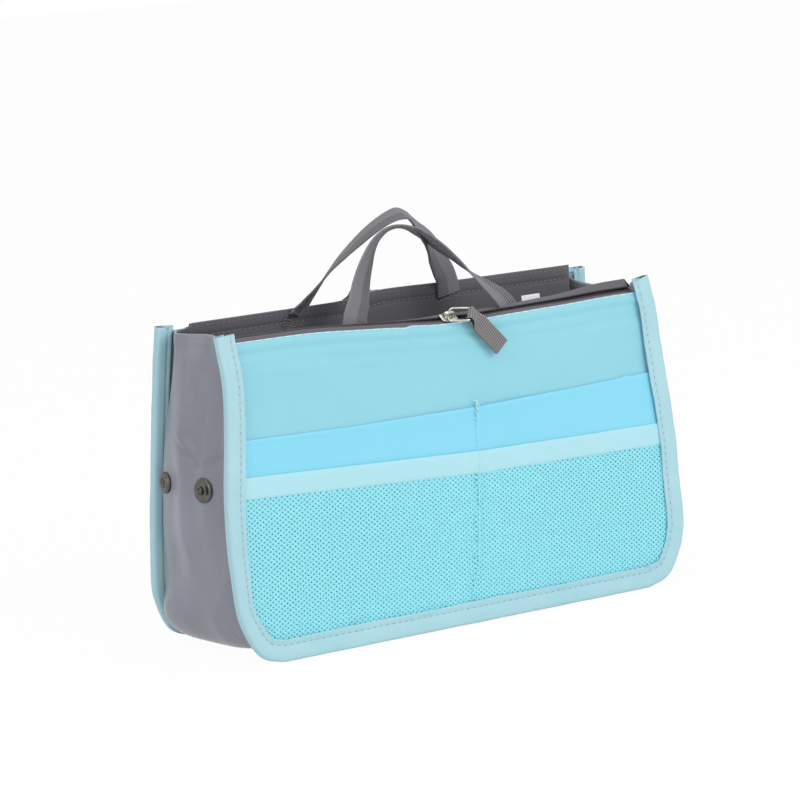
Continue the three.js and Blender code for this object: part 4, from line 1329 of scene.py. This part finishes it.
for wall in WALLS:
    parts = []
    for sign in (1, -1):
        levels = []
        for shrink, above in ((0.25, 0), (0.05, 0.08), (0, 0.3), (0, 0.6), (0.1, 0.8), (0.35, 0.9)):
            outline = shield(SLIDER_LENGTH / 2 - shrink, SLIDER_HALF - shrink, 1.5)
            levels.append(on_zip(wall, outline[:, 0], outline[:, 1], sign * (SLIDER_INSIDE + above)))
        parts.append(lofted("plate", levels, slider_metal))
        for hand in (1, -1):
            lip = []
            for x in np.linspace(-3.9, 4.2, 10):
                narrow = 1 - SHIELD_NARROW * soft_step(-x, -1, 5)
                pairs = round_block(0.5, 0.42, 0.18, 3)
                lip.append(on_zip(wall, x, hand * (2.86 * narrow) + pairs[:, 0], sign * 0.78 + pairs[:, 1]))
            parts.append(lofted("lip", lip, slider_metal))
    post = [on_zip(wall, x, *(round_block(0.28, 1.1, 0.1, 2).T)) for x in (1.6, 2.4, 3.4, 4.2)]
    parts.append(lofted("post", post, slider_metal))
    bridge_path = np.array(
        [(-1, 1.5), (-1, 2.6), (-0.99, 3.5), (-0.9, 4.25), (-0.68, 4.6), (-0.3, BRIDGE_TOP), (0, BRIDGE_TOP)]
    )
    bridge_path = np.vstack([bridge_path, bridge_path[-2::-1] * (-1, 1)]) * (BRIDGE_HALF, 1)
    bridge = []
    along_bridge = np.gradient(bridge_path, axis=0)
    along_bridge = unit(along_bridge)
    for (x, above), (run_x, run_above) in zip(bridge_path, along_bridge):
        pairs = round_block(0.9, 0.45, 0.3, 3)
        bridge.append(on_zip(wall, x - run_above * pairs[:, 1], pairs[:, 0], above + run_x * pairs[:, 1]))
    parts.append(lofted("bridge", bridge, slider_metal))
    slider = joined(f"{wall}_slider_casting", parts)
    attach(slider, f"{wall}_slider_body")
    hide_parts(f"{wall}_zip_slider")


# Pull rings. A loop of plated wire hangs from each slider's bridge and swings under it.
RING_WIRE = 1.2
RING_HALF = 5.8
RING_REACH = 12
RING_LIFT = math.radians(20)
RING_ABOVE = 3.05
PULL_SKEW = {"front": math.radians(55), "rear": math.radians(52)}


def zip_frame(wall):
    """The zip's own frame at the slider, for lengths in millimetres."""
    origin = Vector(on_zip(wall, 0, 0, 0).tolist())
    across = Vector(on_zip(wall, 0, 1, 0).tolist()) - origin
    above = Vector(on_zip(wall, 0, 0, 1).tolist()) - origin
    along_zip = across.cross(above) * 1000
    columns = Matrix((along_zip, across, above)).transposed().to_4x4()
    return Matrix.Translation(origin) @ columns


def ring_frame(wall):
    turn = Matrix.Rotation(PULL_SKEW[wall], 4, "Z") @ Matrix.Rotation(-RING_LIFT, 4, "X")
    return zip_frame(wall) @ Matrix.Translation((0, 0, RING_ABOVE)) @ turn


def moved(matrix, points):
    return np.array([(matrix @ Vector(p))[:] for p in np.asarray(points, float).tolist()])


def wire_rings(path, wire, sides=12):
    """The rings of points round a flat closed path of wire."""
    path = np.array(path)
    run = unit(np.roll(path, -1, axis=0) - np.roll(path, 1, axis=0))
    side = np.cross(run, (0, 0, 1))
    rings = []
    for p, s in zip(path, side):
        angles = np.linspace(0, 2 * math.pi, sides, endpoint=False)[:, None]
        rings.append(p + wire / 2 * (np.cos(angles) * s + np.sin(angles) * np.array([0, 0, 1.0])))
    return rings


ring_line = round_block(RING_HALF, RING_REACH / 2, 2.2, 8) - (0, RING_REACH / 2)
ring_line = np.column_stack([ring_line, np.zeros(len(ring_line))])
for wall in WALLS:
    rings = [moved(ring_frame(wall), ring) for ring in wire_rings(ring_line, RING_WIRE)]
    ring = lofted(f"{wall}_ring_wire", rings, slider_metal, closed=True)
    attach(ring, f"{wall}_ring_body")
    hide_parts(f"{wall}_pull_ring")


# Pull tabs. A short length of grey webbing is doubled through each ring. It turns a little below the
# ring so that it lies flat on the outer panel, and its two cut ends show one over the other.
TAB_HALF = 4.8
TAB_TURN = (1.8, 8)
TAB_LAYER = 0.36
LOOP_STEP = 0.26
TAB_LOOP = [
    (27, 0.52), (20, 0.5), (12, 0.5), (6.5, 0.55), (4, 0.85), (1.9, 1.32), (0.6, 1.46), (-0.6, 1.36),
    (-1.25, 0.75), (-1.48, 0), (-1.25, -0.75), (-0.6, -1.36), (0.6, -1.46), (1.9, -1.32), (4, -0.85),
    (6.5, -0.55), (12, -0.5), (20, -0.5), (26.7, -0.52),
]
RIB_PITCH = 1.25


def webbing(name, light, dark, gap, ribbed_from):
    """Webbing cloth: an even weave, with painted shade in the grooves between its ribs, which start some way
    across it.
    """
    material = woven(name, light, dark, 0.5, 0.7, 0.1, 0.35, 0.3, 0.5)
    tree = material.node_tree
    colour = tree.nodes["Principled BSDF"].inputs["Base Color"]
    place = add_node(tree, "ShaderNodeTexCoord").outputs["UV"]
    wave = {"Scale": math.pi / (10 * RIB_PITCH / 1000), "Distortion": 0.25, "Vector": place}
    ribs = add_node(tree, "ShaderNodeTexWave", wave).outputs["Fac"]
    # Painted shade: where the ribs dip, the colour is drawn towards the last colour, for the shade in the
    # grooves.
    rib_shade_span = {"From Max": 0.5, "To Min": 0.9, "To Max": 0, "Value": ribs}
    rib_groove_shade = add_node(tree, "ShaderNodeMapRange", rib_shade_span).outputs["Result"]
    across = add_node(tree, "ShaderNodeSeparateXYZ", {0: place}).outputs["Y"]
    ribbed_span = {"From Min": ribbed_from + 0.0002, "From Max": ribbed_from + 0.0007, "Value": across}
    ribbed = add_node(tree, "ShaderNodeMapRange", ribbed_span).outputs["Result"]
    amount = math_node(tree, "MULTIPLY", rib_groove_shade, ribbed)
    tree.links.new(blend_of(tree, colour.links[0].from_socket, linear(gap), amount), colour)
    return material


# The last colour of each webbing is the painted shade in the grooves between its ribs.
tab_weave = webbing("tab_weave", "9A9898", "757272", "464242", -1)
handle_weave = webbing("handle_weave", "87878B", "68686D", "2A2A2E", 0)


def tab_frame(wall):
    """The tab's frame, and the turn that lays it flat on the panel."""
    skew = PULL_SKEW[wall]
    drop = math.atan2(math.cos(skew) * math.cos(ZIP_TILT), math.sin(ZIP_TILT))
    pose = Matrix.Rotation(ZIP_TILT, 3, "X") @ Matrix.Rotation(skew, 3, "Z") @ Matrix.Rotation(drop, 3, "X")
    turn = math.atan2(pose[1][0], -pose[1][2])
    swing = Matrix.Translation((0, -RING_REACH, 0)) @ Matrix.Rotation(drop + RING_LIFT, 4, "X")
    return ring_frame(wall) @ swing, turn


def webbing_face(run, across, half, ribbed_from):
    """The relief of webbing: ribbed straight across on one part, a raised line, and a finer plain part."""
    past = across / half - ribbed_from
    ribs = -0.16 * np.cos(2 * np.pi * run / RIB_PITCH) * soft_step(past, 0.02, 0.14)
    twill = 0.03 * np.cos(2 * np.pi * (run + across) / 0.9) * soft_step(-past, 0.02, 0.14)
    line = 0.09 * bump(past, 0, 0.06)
    return (ribs + twill + line) * (1 - 0.6 * np.abs(across / half) ** 6)


for wall in WALLS:
    frame_at, turn = tab_frame(wall)
    loop = path_through(TAB_LOOP, LOOP_STEP)
    run = np.arange(len(loop)) * LOOP_STEP
    slope = unit(np.gradient(loop, axis=0))
    normal = np.column_stack([slope[:, 1], -slope[:, 0]])
    across = np.linspace(-TAB_HALF, TAB_HALF, 15)
    relief = webbing_face(run[:, None], across[None, :], TAB_HALF, -1.1)
    angle = turn * soft_step(loop[:, 0], *TAB_TURN)
    grids = []
    for sign in (1, -1):
        thick = sign * (TAB_LAYER + (relief if sign > 0 else 0 * relief))
        reach = loop[:, None, 0] + thick * normal[:, None, 0]
        lift = loop[:, None, 1] + thick * normal[:, None, 1]
        wide_x = across[None, :] * np.cos(angle)[:, None] - lift * np.sin(angle)[:, None]
        wide_z = across[None, :] * np.sin(angle)[:, None] + lift * np.cos(angle)[:, None]
        grid = np.stack([wide_x, -reach, wide_z], axis=-1)
        grids.append(moved(frame_at, grid.reshape(-1, 3)).reshape(grid.shape))
    uv = grid_uv(run, across) / 1000
    tab = cloth_shell(f"{wall}_tab_webbing", grids[0], grids[1], tab_weave, uv)
    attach(tab, f"{wall}_tab_body")
    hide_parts(f"{wall}_pull_tab")


# Handles. Each wall has one loop of 15 mm grey webbing. Its ends are sewn into the seam under the liner's
# rim, and it makes half a turn from one end to the other, so its flat side lies across the hand.
STRAP_HALF = 7.5
STRAP_THICKNESS = 0.55
STRAP_DEPTH = 10.4
STRAP_HIDDEN = 8.3
SEAM_ENTRY = (-10.2, -8.4)
PIVOT_HEIGHT = {"front": 173, "rear": 181}
# Each handle's hinge in the bag, as Y and Z, and how far above and below it the cloth gives, in metres
HANDLE_HINGE = {"front": (-0.02086, 0.1713), "rear": (0.02025, 0.1793)}
GIVE_HALF = 0.0045
HANDLE_LEAN = {"front": math.radians(27), "rear": math.radians(15.5)}
# Places along each loop: along the wall, up the loop from the line it swings on, and the turn in degrees
HANDLE_LINE = {
    "front": [
        (-49, -20, 0), (-48.8, -9, 0), (-46.8, 0, -2), (-41.6, 8.5, -9), (-36.1, 18.4, -18), (-31, 26.3, -26),
        (-25.6, 33.4, -34), (-19.4, 40.5, -45), (-12.5, 46, -59), (-5.5, 49.2, -76), (1.5, 49.8, -88),
        (7.2, 48.2, -92), (12.6, 44, -92), (22.9, 32.7, -94), (28, 26.5, -103), (32.7, 19.8, -110),
        (37.8, 12.9, -120), (43, 6.8, -131), (48.4, 0, -146), (52.2, -7, -165), (54, -20, -180),
    ],
    "rear": [
        (-41.5, -20, 0), (-41.1, -9, -5), (-38.8, 1, -11), (-34.3, 8.2, -15), (-29.7, 15.4, -23),
        (-25.7, 22, -34), (-20.8, 27.9, -45), (-16.4, 32.1, -54), (-11.8, 36.8, -60), (-7.6, 41.2, -67),
        (-2.6, 44.3, -76), (3.6, 43.6, -86), (8.8, 41.5, -91), (13.6, 38.7, -94), (24.5, 30.1, -101),
        (34.6, 20.5, -111), (39.8, 14.6, -119), (44.9, 7.3, -125), (49.8, 0.6, -131), (54.7, -5, -139),
        (58.6, -10, -158), (60.5, -20, -180),
    ],
}

for wall in WALLS:
    control = np.array(HANDLE_LINE[wall], float)
    line = path_through([tuple(p) for p in control[:, :2]], LOOP_STEP)
    run = np.arange(len(line)) * LOOP_STEP
    nearest = [np.argmin(np.linalg.norm(line - p, axis=1)) for p in control[:, :2]]
    twist = np.interp(run, run[nearest], np.radians(control[:, 2]))
    twist = np.convolve(np.pad(twist, 12, mode="edge"), np.full(25, 1 / 25), mode="valid")
    rises = np.linspace(-21, 52, 400)
    leans = HANDLE_LEAN[wall] * soft_step(rises, -3, 3)
    step = rises[1] - rises[0]
    inward = np.cumsum(np.sin(leans)) * step
    upward = np.cumsum(np.cos(leans)) * step - 21
    behind = (STRAP_DEPTH - STRAP_HIDDEN) * (1 - soft_step(line[:, 1], *SEAM_ENTRY))
    depth = STRAP_DEPTH + np.interp(line[:, 1], rises, inward) - behind
    height = PIVOT_HEIGHT[wall] + np.interp(line[:, 1], rises, upward)
    centre = np.column_stack([line[:, 0], depth, height])
    tangent = unit(np.gradient(centre, axis=0))
    across = unit(np.array([0, 1, 0]) - tangent[:, 1:2] * tangent)
    radial = np.cross(tangent, across)
    wide = radial * np.cos(twist)[:, None] + across * np.sin(twist)[:, None]
    normal = np.cross(wide, tangent)
    side = np.linspace(-STRAP_HALF, STRAP_HALF, 19)
    relief = webbing_face(run[:, None], -side[None, :], STRAP_HALF, 0)
    grids = []
    for sign in (1, -1):
        thick = sign * (STRAP_THICKNESS + relief)
        points = centre[:, None] + wide[:, None] * side[None, :, None] + normal[:, None] * thick[..., None]
        grids.append(in_bag(wall, points[..., 0], points[..., 1], points[..., 2]))
    uv = grid_uv(run, -side) / 1000
    strap = cloth_shell(f"{wall}_handle_webbing", grids[0], grids[1], handle_weave, uv)
    hinge_y, hinge_z = HANDLE_HINGE[wall]
    start = (0, hinge_y, hinge_z - GIVE_HALF)
    end = (0, hinge_y, hinge_z + GIVE_HALF)
    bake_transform(strap)
    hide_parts(f"{wall}_handle", f"{wall}_handle_end_left", f"{wall}_handle_end_right")
    loops = []
    zigzag = np.arange(13)
    for leg_at in (run[nearest[1]] - 4, run[nearest[-2]] - 2):
        here = np.argmin(np.abs(run - leg_at))
        places = centre[here] + wide[here] * np.linspace(-8, 8, len(zigzag))[:, None]
        low = liner_top(wall, places[:, 0]) - 10.6 + 2.4 * (zigzag % 2)
        loops.append(in_bag(wall, places[:, 0], LINER_FIELD + NYLON + 0.3, low))
    loop_stitches = sewn(f"{wall}_handle_stitches", loops, grey_thread, 1.6, 0.3, 0.2)
    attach(loop_stitches, WALL_BODY[wall])


# Label. A short white satin ribbon, left blank, is sewn in beside the front handle's right leg and just
# shows over the rim.
# The ribbon's left and right edge, its foot and its top
LABEL = (61, 73, 158.5, 172.5)
LABEL_DEPTH = 9.8
LABEL_THICKNESS = 0.4

label_satin = woven("label_satin", "F0EEF6", "DEDCE6", 0.25, 0.4, 0.2, 0.2, 0.2)

x = np.repeat(np.linspace(LABEL[0], LABEL[1], 13)[None, :], 20, axis=0)
height = np.repeat(np.linspace(LABEL[2], LABEL[3], 20)[:, None], 13, axis=1)
curl = 0.35 * np.sin((x - LABEL[0]) / 4.2) * soft_step(height, 163, 172.5)
depth = LABEL_DEPTH + curl
label = wall_cloth("blank_ribbon", "front", x, depth, height, LABEL_THICKNESS, label_satin)
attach(label, "front_wall")
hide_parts("blank_label")
